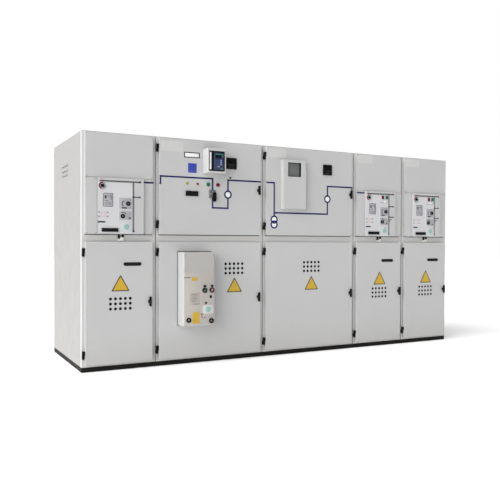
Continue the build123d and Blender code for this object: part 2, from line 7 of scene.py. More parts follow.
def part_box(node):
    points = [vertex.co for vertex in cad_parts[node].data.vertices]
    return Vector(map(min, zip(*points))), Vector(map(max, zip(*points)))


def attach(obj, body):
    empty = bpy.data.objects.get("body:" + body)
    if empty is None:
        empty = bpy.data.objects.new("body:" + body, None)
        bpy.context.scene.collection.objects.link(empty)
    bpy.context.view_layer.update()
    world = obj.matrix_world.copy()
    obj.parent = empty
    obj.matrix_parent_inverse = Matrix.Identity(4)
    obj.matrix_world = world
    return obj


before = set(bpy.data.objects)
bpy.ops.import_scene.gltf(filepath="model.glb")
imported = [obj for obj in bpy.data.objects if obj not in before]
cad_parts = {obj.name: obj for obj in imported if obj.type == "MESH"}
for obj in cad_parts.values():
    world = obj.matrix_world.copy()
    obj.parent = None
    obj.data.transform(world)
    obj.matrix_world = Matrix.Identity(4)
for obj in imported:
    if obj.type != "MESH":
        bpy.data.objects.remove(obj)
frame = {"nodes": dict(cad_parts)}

bl_info = {
    "name": "Switchgear row",
    "version": (1, 0, 0),
    "blender": (4, 5, 0),
    "location": "3D View > Sidebar > Switchgear",
    "description": "Gives a row of medium voltage switchgear its finishes, fasteners and fittings",
    "category": "Object",
}

# Lengths in this file are millimetres, and MM turns them to Blender's metres
MM = 0.001
BAYS = (1, 2, 3, 4, 5)
SWITCH_BAYS = (1, 4, 5)
MOTOR_BAYS = (4, 5)
LEFT_STRIP = 22

# Sockets of the Mix node by number, because its colour and number sockets share their names
MIX_FACTOR = 0
MIX_NUMBERS = (2, 3)
MIX_COLOURS = (6, 7)
MIXED_NUMBER = 0
MIXED_COLOUR = 2


def low(node):
    """Lowest corner of a CAD node in millimetres."""
    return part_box(node)[0] / MM


def high(node):
    """Highest corner of a CAD node in millimetres."""
    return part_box(node)[1] / MM


def span_of(node, axis):
    """Range of a CAD node along x, y or z in millimetres."""
    return getattr(low(node), axis), getattr(high(node), axis)


def bay_left(bay):
    """Left edge of a cubicle in millimetres."""
    return low(f"cable_door_{bay}").x - LEFT_STRIP


# Depths of the faces that carry fittings, read from the frame
DOOR_FACE = low("instrument_door_2").y
DRIVE_FACE = low("drive_covers").y
PLATE_FACE = high("voltage_indicators").y
SEAT_FACE = high("drive_sockets").y
BREAKER_FACE = low("breaker_housing").y
BREAKER_COVER_FACE = low("breaker_cover_plate").y
RELAY_FRONT = low("relay_case").y
RELAY_FACE = low("relay_face").y
RECORDER_FACE = low("recorder_case").y
METER_FACE = low("panel_meters").y
REAR_FACE = high("rear_panels").y


def linear(code):
    """Turn an sRGB hex colour to linear red, green, blue and alpha."""
    parts = [int(code[i : i + 2], 16) / 255 for i in (1, 3, 5)]
    return [p / 12.92 if p < 0.04045 else ((p + 0.055) / 1.055) ** 2.4 for p in parts] + [1.0]


def colour(label, meaning, code):
    """Colour property with an sRGB hex default."""
    return bpy.props.FloatVectorProperty(
        name=label, description=meaning, subtype="COLOR", size=4, min=0, max=1, default=linear(code)
    )


def length(label, meaning, millimetres):
    """Length property with its default given in millimetres."""
    limits = {"default": millimetres * MM, "min": 0.01 * MM, "precision": 4}
    return bpy.props.FloatProperty(name=label, description=meaning, unit="LENGTH", **limits)


class SwitchgearSizes(bpy.types.PropertyGroup):
    """Sizes of the pieces that dress the row."""

    line_width: length("Mimic line width", "Width of the printed single-line diagram", 14)
    line_thickness: length("Mimic line thickness", "Thickness of the printed lines", 0.6)
    label_thickness: length("Label thickness", "Thickness of labels and thin plates", 0.8)
    screw_radius: length("Screw head radius", "Radius of the cover screws' heads", 2.9)
    screw_height: length("Screw head height", "Height of the cover screws' heads", 2.4)
    triangle_side: length("Triangle side", "Side of the plain triangular door plates", 150)
    triangle_rim: length("Triangle rim", "Width of the dark rim of the triangular plates", 8)


class SwitchgearColours(bpy.types.PropertyGroup):
    """Colours of the main finishes."""

    door: colour("Door paint", "Smooth powder coat of doors and covers", "#B1B1B1")
    # The frame paint is the door paint made lighter: painted light that lifts the shade on the
    # recessed posts and rails
    frame: colour("Frame paint", "Smooth powder coat of the posts and rails", "#BDBCBB")
    # The wall paint is the door paint made darker: painted shade against the strong light on the end
    # walls
    wall: colour("Wall paint", "Textured powder coat of walls, roof and back", "#8E8D8C")
    breaker_front: colour("Breaker front", "Beige-grey coat of the breaker's front sheet", "#A9A39E")
    face_plate: colour("Face plate", "Lacquered aluminium of the drive fronts", "#BEBEC0")
    mimic: colour("Mimic lines", "Vinyl of the single-line diagram", "#11134C")
    yellow: colour("Yellow plates", "Enamel of the triangular plates and flags", "#B89512")
    teal: colour("Seal colour", "Vinyl of the round inspection seals", "#86A9A4")


# Small helpers for modelling


def deselect():
    """Leave nothing selected, so that the next operator acts on its own piece only."""
    if bpy.context.object and bpy.context.object.mode != "OBJECT":
        bpy.ops.object.mode_set(mode="OBJECT")
    bpy.ops.object.select_all(action="DESELECT")


def settle(piece, name):
    """Name a new piece and move its place into its mesh."""
    piece.name = name
    piece.data.name = name
    bpy.ops.object.transform_apply(location=True, rotation=True, scale=True)
    return piece


def edit_with_none(piece, kind):
    """Open a piece in edit mode for a kind of element and close it with none selected."""
    deselect()
    bpy.context.view_layer.objects.active = piece
    piece.select_set(True)
    bpy.ops.object.mode_set(mode="EDIT")
    bpy.ops.mesh.select_mode(type=kind)
    bpy.ops.mesh.select_all(action="DESELECT")
    bpy.ops.object.mode_set(mode="OBJECT")


def select_faces(piece, wanted):
    """Go to edit mode with the faces selected that pass a test."""
    edit_with_none(piece, "FACE")
    for face in piece.data.polygons:
        face.select = wanted(face)
    bpy.ops.object.mode_set(mode="EDIT")


def select_upright_edges(piece):
    """Go to edit mode with the edges selected that run from the face of a plate to its back."""
    edit_with_none(piece, "EDGE")
    points = piece.data.vertices
    for edge in piece.data.edges:
        start, end = [points[i].co for i in edge.vertices]
        edge.select = abs(start.y - end.y) > 0.5 * (start - end).length
    bpy.ops.object.mode_set(mode="EDIT")


def looks_out(face):
    """Whether a face looks straight out of the row's front, as the faces of a bevel don't."""
    return face.normal.y < -0.99


def block(name, x, y, z, edge=0.3):
    """Make a block with rounded edges that fills the ranges x, y and z."""
    deselect()
    middle = [sum(span) / 2 * MM for span in (x, y, z)]
    size = [(span[1] - span[0]) * MM for span in (x, y, z)]
    bpy.ops.mesh.primitive_cube_add(size=1, location=middle, scale=size)
    piece = settle(bpy.context.object, name)
    bpy.ops.object.mode_set(mode="EDIT")
    bpy.ops.mesh.select_all(action="SELECT")
    bpy.ops.mesh.bevel(offset=edge * MM, segments=2, affect="EDGES")
    bpy.ops.object.mode_set(mode="OBJECT")
    return piece


def around(middle, width):
    """Range of a width around its middle."""
    return middle - width / 2, middle + width / 2


def plate(name, x, z, width, tall, face, thick, edge=0.3):
    """Make a flat plate with its middle at x and z that stands out of a face."""
    return block(name, around(x, width), (face - thick, face), around(z, tall), edge)


def disc(name, x, z, radius, face, thick, edge=0.3, sides=40):
    """Make a round plate with a rounded rim that stands out of a face."""
    deselect()
    bpy.ops.mesh.primitive_cylinder_add(
        vertices=sides,
        radius=radius * MM,
        depth=thick * MM,
        location=(x * MM, (face - thick / 2) * MM, z * MM),
        rotation=(pi / 2, 0, 0),
    )
    piece = settle(bpy.context.object, name)
    select_faces(piece, looks_out)
    bpy.ops.mesh.bevel(offset=edge * MM, segments=2, affect="EDGES")
    bpy.ops.object.mode_set(mode="OBJECT")
    return piece


def cut_out_middle(piece, punch):
    """Cut the shape of a punch through a plate, and take the punch away."""
    deselect()
    bpy.context.view_layer.objects.active = piece
    bpy.ops.object.modifier_add(type="BOOLEAN")
    hole = piece.modifiers[-1]
    hole.operation = "DIFFERENCE"
    hole.object = punch
    bpy.ops.object.modifier_apply(modifier=hole.name)
    punch.select_set(True)
    bpy.ops.object.delete()
    return piece


def ring(name, x, z, radius, band, face, thick):
    """Make a flat ring, as of printed vinyl, that lies on a face."""
    piece = disc(name, x, z, radius, face, thick, edge=min(0.2, thick / 3))
    return cut_out_middle(piece, disc("punch", x, z, radius - band, face + thick, 3 * thick))


def rounded_plate(name, x, z, width, tall, face, thick, corner):
    """Make a flat plate with rounded corners that stands out of a face."""
    deselect()
    bpy.ops.mesh.primitive_cube_add(
        size=1,
        location=(x * MM, (face - thick / 2) * MM, z * MM),
        scale=(width * MM, thick * MM, tall * MM),
    )
    piece = settle(bpy.context.object, name)
    select_upright_edges(piece)
    bpy.ops.mesh.bevel(offset=corner * MM, segments=8, affect="EDGES")
    bpy.ops.object.mode_set(mode="OBJECT")
    return piece


def rounded_frame(name, x, z, width, tall, band, face, thick, corner):
    """Make a flat frame with rounded corners that lies on a face."""
    piece = rounded_plate(name, x, z, width, tall, face, thick, corner)
    opening = (width - 2 * band, tall - 2 * band)
    punch = rounded_plate("punch", x, z, *opening, face + thick, 3 * thick, corner / 2)
    return cut_out_middle(piece, punch)


def arc_band(name, x, z, radius, width, start, turn, face, thick):
    """Sweep a small section round a centre on a face, anticlockwise from a start angle."""
    deselect()
    middle = Vector((x, face - thick / 2, z)) * MM
    out = Vector((cos(start), 0, sin(start)))
    bpy.ops.mesh.primitive_plane_add(size=1, location=middle + out * (radius - width / 2) * MM)
    piece = bpy.context.object
    piece.scale = (width * MM, thick * MM, 1)
    piece.rotation_euler = (0, -start, 0)
    settle(piece, name)
    bpy.ops.object.mode_set(mode="EDIT")
    bpy.ops.mesh.select_all(action="SELECT")
    bpy.ops.mesh.spin(steps=16, angle=turn, center=middle, axis=(0, 1, 0))
    bpy.ops.mesh.select_all(action="SELECT")
    bpy.ops.mesh.normals_make_consistent(inside=False)
    bpy.ops.object.mode_set(mode="OBJECT")
    return piece


def join(name, pieces):
    """Join like pieces into one."""
    deselect()
    for piece in pieces:
        piece.select_set(True)
    bpy.context.view_layer.objects.active = pieces[0]
    if len(pieces) > 1:
        bpy.ops.object.join()
    pieces[0].name = name
    pieces[0].data.name = name
    return pieces[0]


def copy_to(piece, places):
    """Copy a piece modelled at the origin to places in millimetres and drop the first."""
    copies = []
    for place in places:
        twin = piece.copy()
        twin.data = piece.data.copy()
        twin.data.transform(Matrix.Translation(Vector(place) * MM))
        bpy.context.collection.objects.link(twin)
        copies.append(twin)
    bpy.data.objects.remove(piece)
    return copies


def dress(piece, finish, body="cabinet"):
    """Give a piece its smooth shading, its finish and the body it rides on."""
    deselect()
    bpy.context.view_layer.objects.active = piece
    piece.select_set(True)
    bpy.ops.object.shade_smooth_by_angle(angle=radians(35))
    piece.data.materials.clear()
    piece.data.materials.append(MATERIALS[finish])
    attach(piece, body)
    return piece


def lay_prints(prints, left, face, suffix="", bottom=0):
    """Lay a table's prints on a face, each as one piece, at places from a left and a bottom.

    A print's row gives its finish, how far it lies in front of the face, its thickness, its
    edges' radius, and the middle, width and height of each of its plates.
    """
    for name, (finish, lift, thick, edge, plates) in prints.items():
        parts = [
            plate("part", left + x, bottom + z, width, tall, face - lift, thick, edge)
            for x, z, width, tall in plates
        ]
        dress(join(name + suffix, parts), finish)


# Materials


def add_node(tree, kind, values=None, links=None, **properties):
    """Add a node with its properties, its input values and its links."""
    node = tree.nodes.new(kind)
    for name, value in properties.items():
        setattr(node, name, value)
    for socket, value in (values or {}).items():
        node.inputs[socket].default_value = value
    for socket, source in (links or {}).items():
        tree.links.new(source, node.inputs[socket])
    return node


def new_material(name, values=None):
    """Start a material: its tree, its shader and its object coordinates in metres."""
    made = bpy.data.materials.new(name)
    made.use_nodes = True
    tree = made.node_tree
    shader = tree.nodes["Principled BSDF"]
    for socket, value in (values or {}).items():
        shader.inputs[socket].default_value = value
    place = add_node(tree, "ShaderNodeTexCoord").outputs["Object"]
    return made, tree, shader, place


def drifting_colour(tree, place, size, first, second, detail=3.0):
    """Colour that drifts between two tones over patches of a size in millimetres."""
    spread = {"Scale": 1 / (size * MM), "Detail": detail}
    patches = add_node(tree, "ShaderNodeTexNoise", spread, {"Vector": place})
    tones = dict(zip(MIX_COLOURS, (first, second)))
    factor = {MIX_FACTOR: patches.outputs["Fac"]}
    mixed = add_node(tree, "ShaderNodeMix", tones, factor, data_type="RGBA")
    return mixed.outputs[MIXED_COLOUR]


def drifting_gloss(tree, shader, place, size, smooth, rough, detail=4.0):
    """Let the roughness drift between two values over patches of a size in millimetres."""
    spread = {"Scale": 1 / (size * MM), "Detail": detail}
    patches = add_node(tree, "ShaderNodeTexNoise", spread, {"Vector": place})
    ends = {"From Min": 0.3, "From Max": 0.7, "To Min": smooth, "To Max": rough}
    gloss = add_node(tree, "ShaderNodeMapRange", ends, {"Value": patches.outputs["Fac"]})
    tree.links.new(gloss.outputs["Result"], shader.inputs["Roughness"])


def fine_relief(tree, shader, place, size, depth, strength, detail=2.0):
    """Give the shader a relief of a size and a depth in millimetres."""
    spread = {"Scale": 1 / (size * MM), "Detail": detail}
    grain = add_node(tree, "ShaderNodeTexNoise", spread, {"Vector": place})
    shape = {"Strength": strength, "Distance": depth * MM}
    bump = add_node(tree, "ShaderNodeBump", shape, {"Height": grain.outputs["Fac"]})
    tree.links.new(bump.outputs["Normal"], shader.inputs["Normal"])


def shade(base, factor):
    """A linear colour made lighter or darker."""
    return [min(1.0, part * factor) for part in base[:3]] + [1.0]


def uneven(name, sockets, tones, gloss, relief=None):
    """A material whose colour and gloss drift, from the arguments of the three functions above."""
    made, tree, shader, place = new_material(name, sockets)
    tree.links.new(drifting_colour(tree, place, *tones), shader.inputs["Base Color"])
    drifting_gloss(tree, shader, place, *gloss)
    if relief:
        fine_relief(tree, shader, place, *relief)
    return made


def powder_coat(name, base, peel, gloss):
    """Polyester powder coat, sprayed and baked: an even sheet with a slight orange peel."""
    made, tree, shader, place = new_material(name, {"IOR": 1.5, "Specular IOR Level": 0.4})
    # The tone drifts a per cent or two over a hand's width, as a sprayed sheet shows
    cloud = drifting_colour(tree, place, 260, shade(base, 0.975), shade(base, 1.02))
    # Pale brown dust lies on the lowest 250 mm of the row and thins out upwards
    up = add_node(tree, "ShaderNodeSeparateXYZ", links={"Vector": place}).outputs["Z"]
    fade = {"From Min": 0.04, "From Max": 0.29, "To Min": 0.3, "To Max": 0.0}
    layer = add_node(tree, "ShaderNodeMapRange", fade, {"Value": up})
    spread = {"Scale": 1 / (40 * MM), "Detail": 6, "Roughness": 0.7}
    specks = add_node(tree, "ShaderNodeTexNoise", spread, {"Vector": place})
    parts = {0: layer.outputs["Result"], 1: specks.outputs["Fac"]}
    amount = add_node(tree, "ShaderNodeMath", links=parts, operation="MULTIPLY").outputs["Value"]
    layers = {MIX_FACTOR: amount, MIX_COLOURS[0]: cloud}
    dust = {MIX_COLOURS[1]: linear("#9A9486")}
    dusty = add_node(tree, "ShaderNodeMix", dust, layers, data_type="RGBA")
    tree.links.new(dusty.outputs[MIXED_COLOUR], shader.inputs["Base Color"])
    # Wiped patches change the gloss more than the colour
    drifting_gloss(tree, shader, place, 120, gloss - 0.05, gloss + 0.07)
    # Orange peel is about 1.5 mm across, and is drawn several times as coarse so that it shows
    fine_relief(tree, shader, place, peel, 0.1, 0.3)
    return made


def chassis_paint():
    """Matt black chassis paint: dry and slightly gritty, greyed by dust."""
    sockets = {"IOR": 1.5, "Specular IOR Level": 0.2}
    tones = (30, linear("#080807"), linear("#1B1A17"), 6)
    return uneven("matt_black_paint", sockets, tones, (30, 0.6, 0.8), (3, 0.2, 0.4))


def galvanised_steel():
    """Hot-dip galvanised steel: zinc crystals some 12 mm across in several greys."""
    made, tree, shader, place = new_material("galvanised_steel", {"Metallic": 1.0})
    cells = add_node(tree, "ShaderNodeTexVoronoi", {"Scale": 1 / (12 * MM)}, {"Vector": place})
    parts = add_node(tree, "ShaderNodeSeparateColor", links={"Color": cells.outputs["Color"]})
    tone = parts.outputs["Red"]
    greys = dict(zip(MIX_COLOURS, (linear("#8D9193"), linear("#B4B8B9"))))
    spangle = add_node(tree, "ShaderNodeMix", greys, {MIX_FACTOR: tone}, data_type="RGBA")
    tree.links.new(spangle.outputs[MIXED_COLOUR], shader.inputs["Base Color"])
    gloss = add_node(tree, "ShaderNodeMapRange", {"To Min": 0.35, "To Max": 0.55}, {"Value": tone})
    tree.links.new(gloss.outputs["Result"], shader.inputs["Roughness"])
    return made


def moulded(name, base, rough, glint=0.5):
    """Moulded plastic: a fine spark-eroded grain and slightly uneven gloss."""
    sockets = {"IOR": 1.53, "Specular IOR Level": glint}
    tones = (25, shade(base, 0.93), shade(base, 1.07), 4)
    # The grain is about 0.3 mm across and is drawn at 1.2 mm
    return uneven(name, sockets, tones, (25, rough - 0.05, rough + 0.08), (1.2, 0.05, 0.4))


def die_cast(name, base):
    """Black-coated zinc die casting: satin, with the casting's soft unevenness."""
    sockets = {"IOR": 1.5, "Specular IOR Level": 0.12}
    tones = (12, shade(base, 0.8), shade(base, 1.4), 5)
    return uneven(name, sockets, tones, (12, 0.5, 0.65), (2.5, 0.08, 0.5, 3))


def lacquered_sheet(name, base):
    """Lacquered aluminium sheet: a faint rolling grain along the sheet under the lacquer."""
    sockets = {"IOR": 1.5, "Coat Weight": 0.1, "Coat Roughness": 0.25}
    made, tree, shader, place = new_material(name, sockets)
    # The grain is stretched 25 times along x, and its lines are drawn about 1.5 mm apart
    stretched = add_node(tree, "ShaderNodeMapping", {"Scale": (0.04, 1, 1)}, {"Vector": place})
    along = stretched.outputs["Vector"]
    grain = drifting_colour(tree, along, 1.5, shade(base, 0.97), shade(base, 1.03))
    tree.links.new(grain, shader.inputs["Base Color"])
    drifting_gloss(tree, shader, along, 1.5, 0.36, 0.46, 3)
    return made


def vinyl(name, base, rough=0.4):
    """Printed vinyl film: an even colour, slightly glossier than the paint below."""
    sockets = {"IOR": 1.48, "Specular IOR Level": 0.35}
    tones = (18, shade(base, 0.96), shade(base, 1.04))
    return uneven(name, sockets, tones, (18, rough - 0.04, rough + 0.06, 3))


def enamel(name, base):
    """Enamelled sheet: glossy and even, with faint flow marks."""
    sockets = {"IOR": 1.5, "Coat Weight": 0.2, "Coat Roughness": 0.15}
    tones = (35, shade(base, 0.95), shade(base, 1.04))
    return uneven(name, sockets, tones, (35, 0.32, 0.42, 3), (6, 0.05, 0.3))


def lens(name, base):
    """Moulded polycarbonate lens: deep colour, clear gloss and fine ribs inside."""
    sockets = {"IOR": 1.58, "Coat Weight": 0.4, "Coat Roughness": 0.08}
    made, tree, shader, place = new_material(name, sockets)
    # The ribs are a few millimetres apart
    ribs = add_node(tree, "ShaderNodeTexWave", {"Scale": 80, "Distortion": 0.0}, {"Vector": place})
    tones = dict(zip(MIX_COLOURS, (shade(base, 0.7), shade(base, 1.2))))
    factor = {MIX_FACTOR: ribs.outputs["Fac"]}
    ribbed = add_node(tree, "ShaderNodeMix", tones, factor, data_type="RGBA")
    tree.links.new(ribbed.outputs[MIXED_COLOUR], shader.inputs["Base Color"])
    drifting_gloss(tree, shader, place, 8, 0.18, 0.28)
    return made


def smoked_glass():
    """Smoked display glass: nearly black and glossy, with finger marks."""
    sockets = {"IOR": 1.5, "Specular IOR Level": 0.18}
    tones = (14, linear("#08090B"), linear("#141719"), 5)
    return uneven("smoked_glass", sockets, tones, (14, 0.12, 0.26, 5))


def display_pane():
    """Grey display behind the recorder's pane: satin, a little uneven."""
    sockets = {"IOR": 1.5, "Specular IOR Level": 0.3}
    tones = (90, linear("#5F6060"), linear("#727373"), 2)
    return uneven("display_pane", sockets, tones, (30, 0.3, 0.4))


def worn_steel(name, dark, bright):
    """Steel of screws and shafts: worn brighter on some crests."""
    tones = (4, linear(dark), linear(bright), 5)
    return uneven(name, {"Metallic": 1.0}, tones, (4, 0.4, 0.6))


def floor_sheet():
    """Matt white floor sheet, faintly lit from below so that shadows on it stay pale."""
    sockets = {
        "Specular IOR Level": 0.1,
        "Roughness": 0.95,
        "Emission Color": (1, 1, 1, 1),
        "Emission Strength": 0.15,
    }
    made, tree, shader, place = new_material("opal_acrylic_floor", sockets)
    even = drifting_colour(tree, place, 900, linear("#FAFAFA"), linear("#FCFCFC"), 2)
    tree.links.new(even, shader.inputs["Base Color"])
    return made


MATERIALS = {}


def make_materials():
    """Make every material once, from the colours in the panel."""
    tone = bpy.context.scene.switchgear_colours
    MATERIALS.update(
        door=powder_coat("smooth_powder_coat", tone.door, 5, 0.45),
        # A lighter copy of the door paint: painted light on the recessed posts and rails
        frame=powder_coat("frame_powder_coat", tone.frame, 5, 0.5),
        # A darker copy of the door paint: painted shade on the walls, roof and back
        wall=powder_coat("textured_powder_coat", tone.wall, 3, 0.6),
        breaker_front=powder_coat("beige_powder_coat", tone.breaker_front, 5, 0.45),
        cover_sheet=powder_coat("grey_powder_coat", linear("#A3A19E"), 5, 0.42),
        plinth=chassis_paint(),
        zinc=galvanised_steel(),
        black=moulded("black_polyamide", linear("#060606"), 0.52, 0.14),
        meter=moulded("black_abs", linear("#070709"), 0.45, 0.16),
        white=moulded("white_abs", linear("#E0DEDA"), 0.4),
        grey=moulded("grey_polyamide", linear("#757678"), 0.45),
        dark_grey=moulded("dark_grey_polyamide", linear("#2A2A2C"), 0.5, 0.25),
        cast=die_cast("black_coated_zinc", linear("#060606")),
        face_plate=lacquered_sheet("lacquered_aluminium", tone.face_plate),
        seat=lacquered_sheet("grey_lacquered_aluminium", linear("#9D9DA0")),
        mimic=vinyl("navy_vinyl", tone.mimic),
        line_grey=vinyl("grey_vinyl", linear("#626067")),
        line_dark=vinyl("dark_grey_vinyl", linear("#3C3B40")),
        bright_film=vinyl("bright_white_vinyl", linear("#DCDDDD")),
        white_film=vinyl("white_vinyl", linear("#B8BBBB")),
        pale_film=vinyl("pale_grey_vinyl", linear("#BABAB9")),
        label_film=vinyl("mid_grey_vinyl", linear("#9E9EA2")),
        beige_film=vinyl("beige_vinyl", linear("#A29B96")),
        black_film=vinyl("black_vinyl", linear("#171618")),
        pink_film=vinyl("pale_red_vinyl", linear("#C98C90")),
        teal_film=vinyl("teal_vinyl", tone.teal),
        dark_green=vinyl("dark_green_vinyl", linear("#123528")),
        pale_green=vinyl("pale_green_vinyl", linear("#7FB09A")),
        pale_red=vinyl("rose_vinyl", linear("#C08A92")),
        teal_dark=vinyl("dark_teal_vinyl", linear("#3C6E66")),
        blue=enamel("blue_enamel", linear("#2C3B96")),
        yellow=enamel("yellow_enamel", tone.yellow),
        dark_rim=enamel("dark_brown_enamel", linear("#2E2412")),
        red=lens("red_polycarbonate", linear("#6A102C")),
        green=lens("green_polycarbonate", linear("#1C634B")),
        amber=lens("amber_polycarbonate", linear("#8E8430")),
        navy=moulded("navy_abs", linear("#1F2A48"), 0.35),
        key=moulded("blue_grey_abs", linear("#7F92B8"), 0.35),
        key_dark=moulded("slate_abs", linear("#3A4A74"), 0.35),
        glass=smoked_glass(),
        screen=display_pane(),
        steel=worn_steel("black_oxide_steel", "#2E2C29", "#6A665F"),
        shaft=worn_steel("bright_steel", "#B9BABC", "#DADBDC"),
        floor=floor_sheet(),
    )


# Which finish each CAD node takes, by the words in its name; the others are walls
NODE_FINISHES = {
    "plinth": ("plinth",),
    "zinc": ("floor_plates", "shelf_plates", "breaker_stand"),
    "cast": ("hinge", "interlock_brackets"),
    "black": ("knob", "drive_sockets", "breaker_fittings", "control_switch_handle"),
    "door": (
        "cable_door",
        "instrument_door",
        "top_covers",
        "filler_plates",
        "drive_covers",
        "breaker_housing",
        "relay_case",
        "recorder_case",
    ),
    "frame": ("front_posts", "front_rails"),
    "face_plate": ("drive_face_plates", "position_dials"),
    "cover_sheet": ("breaker_cover_plate",),
    "meter": ("inspection_window", "voltage_indicators", "relay_face", "panel_meters", "annunciator"),
    "screen": ("recorder_screen",),
    "white": ("interlock_tabs",),
    "grey": ("control_switch_plate",),
    "yellow": ("breaker_flags",),
    "amber": ("signal_lamps",),
    "red": ("red_buttons",),
    "green": ("green_buttons",),
}


class SWITCHGEAR_OT_finishes(bpy.types.Operator):
    """Give every CAD node its own finish"""

    bl_idname = "switchgear.finishes"
    bl_label = "Paint the cubicles"

    def execute(self, context):
        make_materials()
        for name, node in frame["nodes"].items():
            fitting = [f for f, words in NODE_FINISHES.items() if any(word in name for word in words)]
            node.data.materials.clear()
            node.data.materials.append(MATERIALS[fitting[0] if fitting else "wall"])
        return {"FINISHED"}


# Screws


def screw_head():
    """Model one button-head screw at the origin, looking out of the front."""
    size = bpy.context.scene.switchgear_sizes
    radius = size.screw_radius / MM
    height = size.screw_height / MM
    head = disc("screw", 0, 0, radius, 0, height, edge=1.1, sides=20)
    select_faces(head, looks_out)
    bpy.ops.mesh.inset(thickness=radius * 0.3 * MM, depth=0)
    bpy.ops.mesh.inset(thickness=0.3 * MM, depth=-height * 0.6 * MM)
    bpy.ops.object.mode_set(mode="OBJECT")
    return head


def corners(x, z, margin):
    """Four points inside a rectangle's corners."""
    return [(a, b) for a in (x[0] + margin, x[1] - margin) for b in (z[0] + margin, z[1] - margin)]


SCREW_MARGIN = 9
FILLER_WIDTHS = (91, 80)
REAR_SCREW_PITCH = 300
REAR_SCREW_MARGIN = 25
BREAKER_SCREWS = ((194, 908), (449, 908), (196, 787), (448, 787))


class SWITCHGEAR_OT_front_screws(bpy.types.Operator):
    """Fix the covers, filler plates and the breaker's cover plate with button-head screws"""

    bl_idname = "switchgear.front_screws"
    bl_label = "Front screws"

    def execute(self, context):
        places = []
        cover_z = span_of("top_covers", "z")
        band_z = span_of("filler_plates", "z")
        for bay in SWITCH_BAYS:
            left, right = span_of(f"cable_door_{bay}", "x")
            sheets = [((left, right), cover_z)]
            sheets.append(((left, left + FILLER_WIDTHS[0]), band_z))
            sheets.append(((right - FILLER_WIDTHS[1], right), band_z))
            for sheet in sheets:
                places += [(x, DOOR_FACE, z) for x, z in corners(*sheet, SCREW_MARGIN)]
        for x, z in BREAKER_SCREWS:
            places.append((bay_left(2) + x, BREAKER_COVER_FACE, z))
        dress(join("front_screws", copy_to(screw_head(), places)), "steel")
        return {"FINISHED"}


class SWITCHGEAR_OT_rear_screws(bpy.types.Operator):
    """Fix the rear panels with screws down both edges"""

    bl_idname = "switchgear.rear_screws"
    bl_label = "Rear screws"

    def execute(self, context):
        head = screw_head()
        head.data.transform(Matrix.Rotation(pi, 4, "Z"))
        bottom, top = span_of("rear_panels", "z")
        bottom += 2 * REAR_SCREW_MARGIN
        top -= 2 * REAR_SCREW_MARGIN
        steps = round((top - bottom) / REAR_SCREW_PITCH)
        levels = [bottom + (top - bottom) * i / steps for i in range(steps + 1)]
        lefts = [bay_left(bay) for bay in BAYS] + [high("rear_panels").x]
        places = []
        for left, right in zip(lefts, lefts[1:]):
            edges = (left + REAR_SCREW_MARGIN, right - REAR_SCREW_MARGIN)
            places += [(x, REAR_FACE, z) for x in edges for z in levels]
        dress(join("rear_screws", copy_to(head, places)), "steel")
        return {"FINISHED"}


# Mimic lines of the single-line diagram, as routes of corners from the row's left end
LINE_ROUTES = {
    "mimic_line_1": ((479, 1497), (573, 1497)),
    "mimic_line_2": (
        (622, 1497),
        (632, 1497),
        (632, 1557),
        (1098, 1557),
        (1098, 1310),
        (1243, 1310),
        (1243, 1391),
    ),
    "mimic_line_2_out": ((1243, 1463), (1243, 1552), (1567, 1552)),
    "mimic_line_3": ((1622, 1551), (1703, 1551), (1703, 1252)),
    "mimic_line_3_out": ((1709, 1283), (2278, 1283), (2278, 1391)),
    "mimic_line_3_end": ((2278, 1457), (2278, 1543), (2561, 1543), (2561, 1515)),
    "mimic_line_4": ((2622, 1499), (2713, 1499)),
}
CIRCLE_RADIUS = 37
CIRCLES = ((1243, 1427), (2278, 1424))
TRANSFORMER_CIRCLES = ((1703, 1222), (1703, 1178))
CIRCLE_BAND = 14


def line_run(start, end, first, last, width, thick):
    """One straight run of a mimic line; runs along x also fill their corners."""
    (x0, z0), (x1, z1) = start, end
    flat = abs(z1 - z0) < 1
    grow = width / 2 if flat else -width / 2
    before = 0 if first else grow
    after = 0 if last else grow
    if flat:
        sign = 1 if x1 > x0 else -1
        x = sorted((x0 - sign * before, x1 + sign * after))
        z = around(z0, width)
    else:
        sign = 1 if z1 > z0 else -1
        z = sorted((z0 - sign * before, z1 + sign * after))
        x = around(x0, width)
    return block("run", x, (DOOR_FACE - thick, DOOR_FACE), z, edge=0.15)


class SWITCHGEAR_OT_mimic_lines(bpy.types.Operator):
    """Lay the single-line diagram on the doors and filler plates"""

    bl_idname = "switchgear.mimic_lines"
    bl_label = "Mimic lines"

    def execute(self, context):
        size = context.scene.switchgear_sizes
        width = size.line_width / MM
        thick = size.line_thickness / MM
        row_left = bay_left(1)
        runs = []
        for route in LINE_ROUTES.values():
            points = [(row_left + x, z) for x, z in route]
            last = len(points) - 2
            for i, (start, end) in enumerate(zip(points, points[1:])):
                runs.append(line_run(start, end, i == 0, i == last, width, thick))
        for x, z in CIRCLES + TRANSFORMER_CIRCLES:
            runs.append(ring("ring", row_left + x, z, CIRCLE_RADIUS, CIRCLE_BAND, DOOR_FACE, thick))
        dress(join("mimic_lines", runs), "mimic")
        fills = []
        for x, z in CIRCLES + TRANSFORMER_CIRCLES:
            fill_radius = CIRCLE_RADIUS - CIRCLE_BAND
            fills.append(disc("fill", row_left + x, z, fill_radius, DOOR_FACE, thick / 2, 0.1))
        dress(join("mimic_circle_fills", fills), "bright_film")
        return {"FINISHED"}


# Cable doors: middle of a triangular plate's base, from the cubicle's left edge and the floor
TRIANGLES = {1: (300, 628), 2: (708, 586), 3: (503, 582), 4: (304, 607), 5: (304, 609)}
TRIANGLE_THICKNESS = 0.8


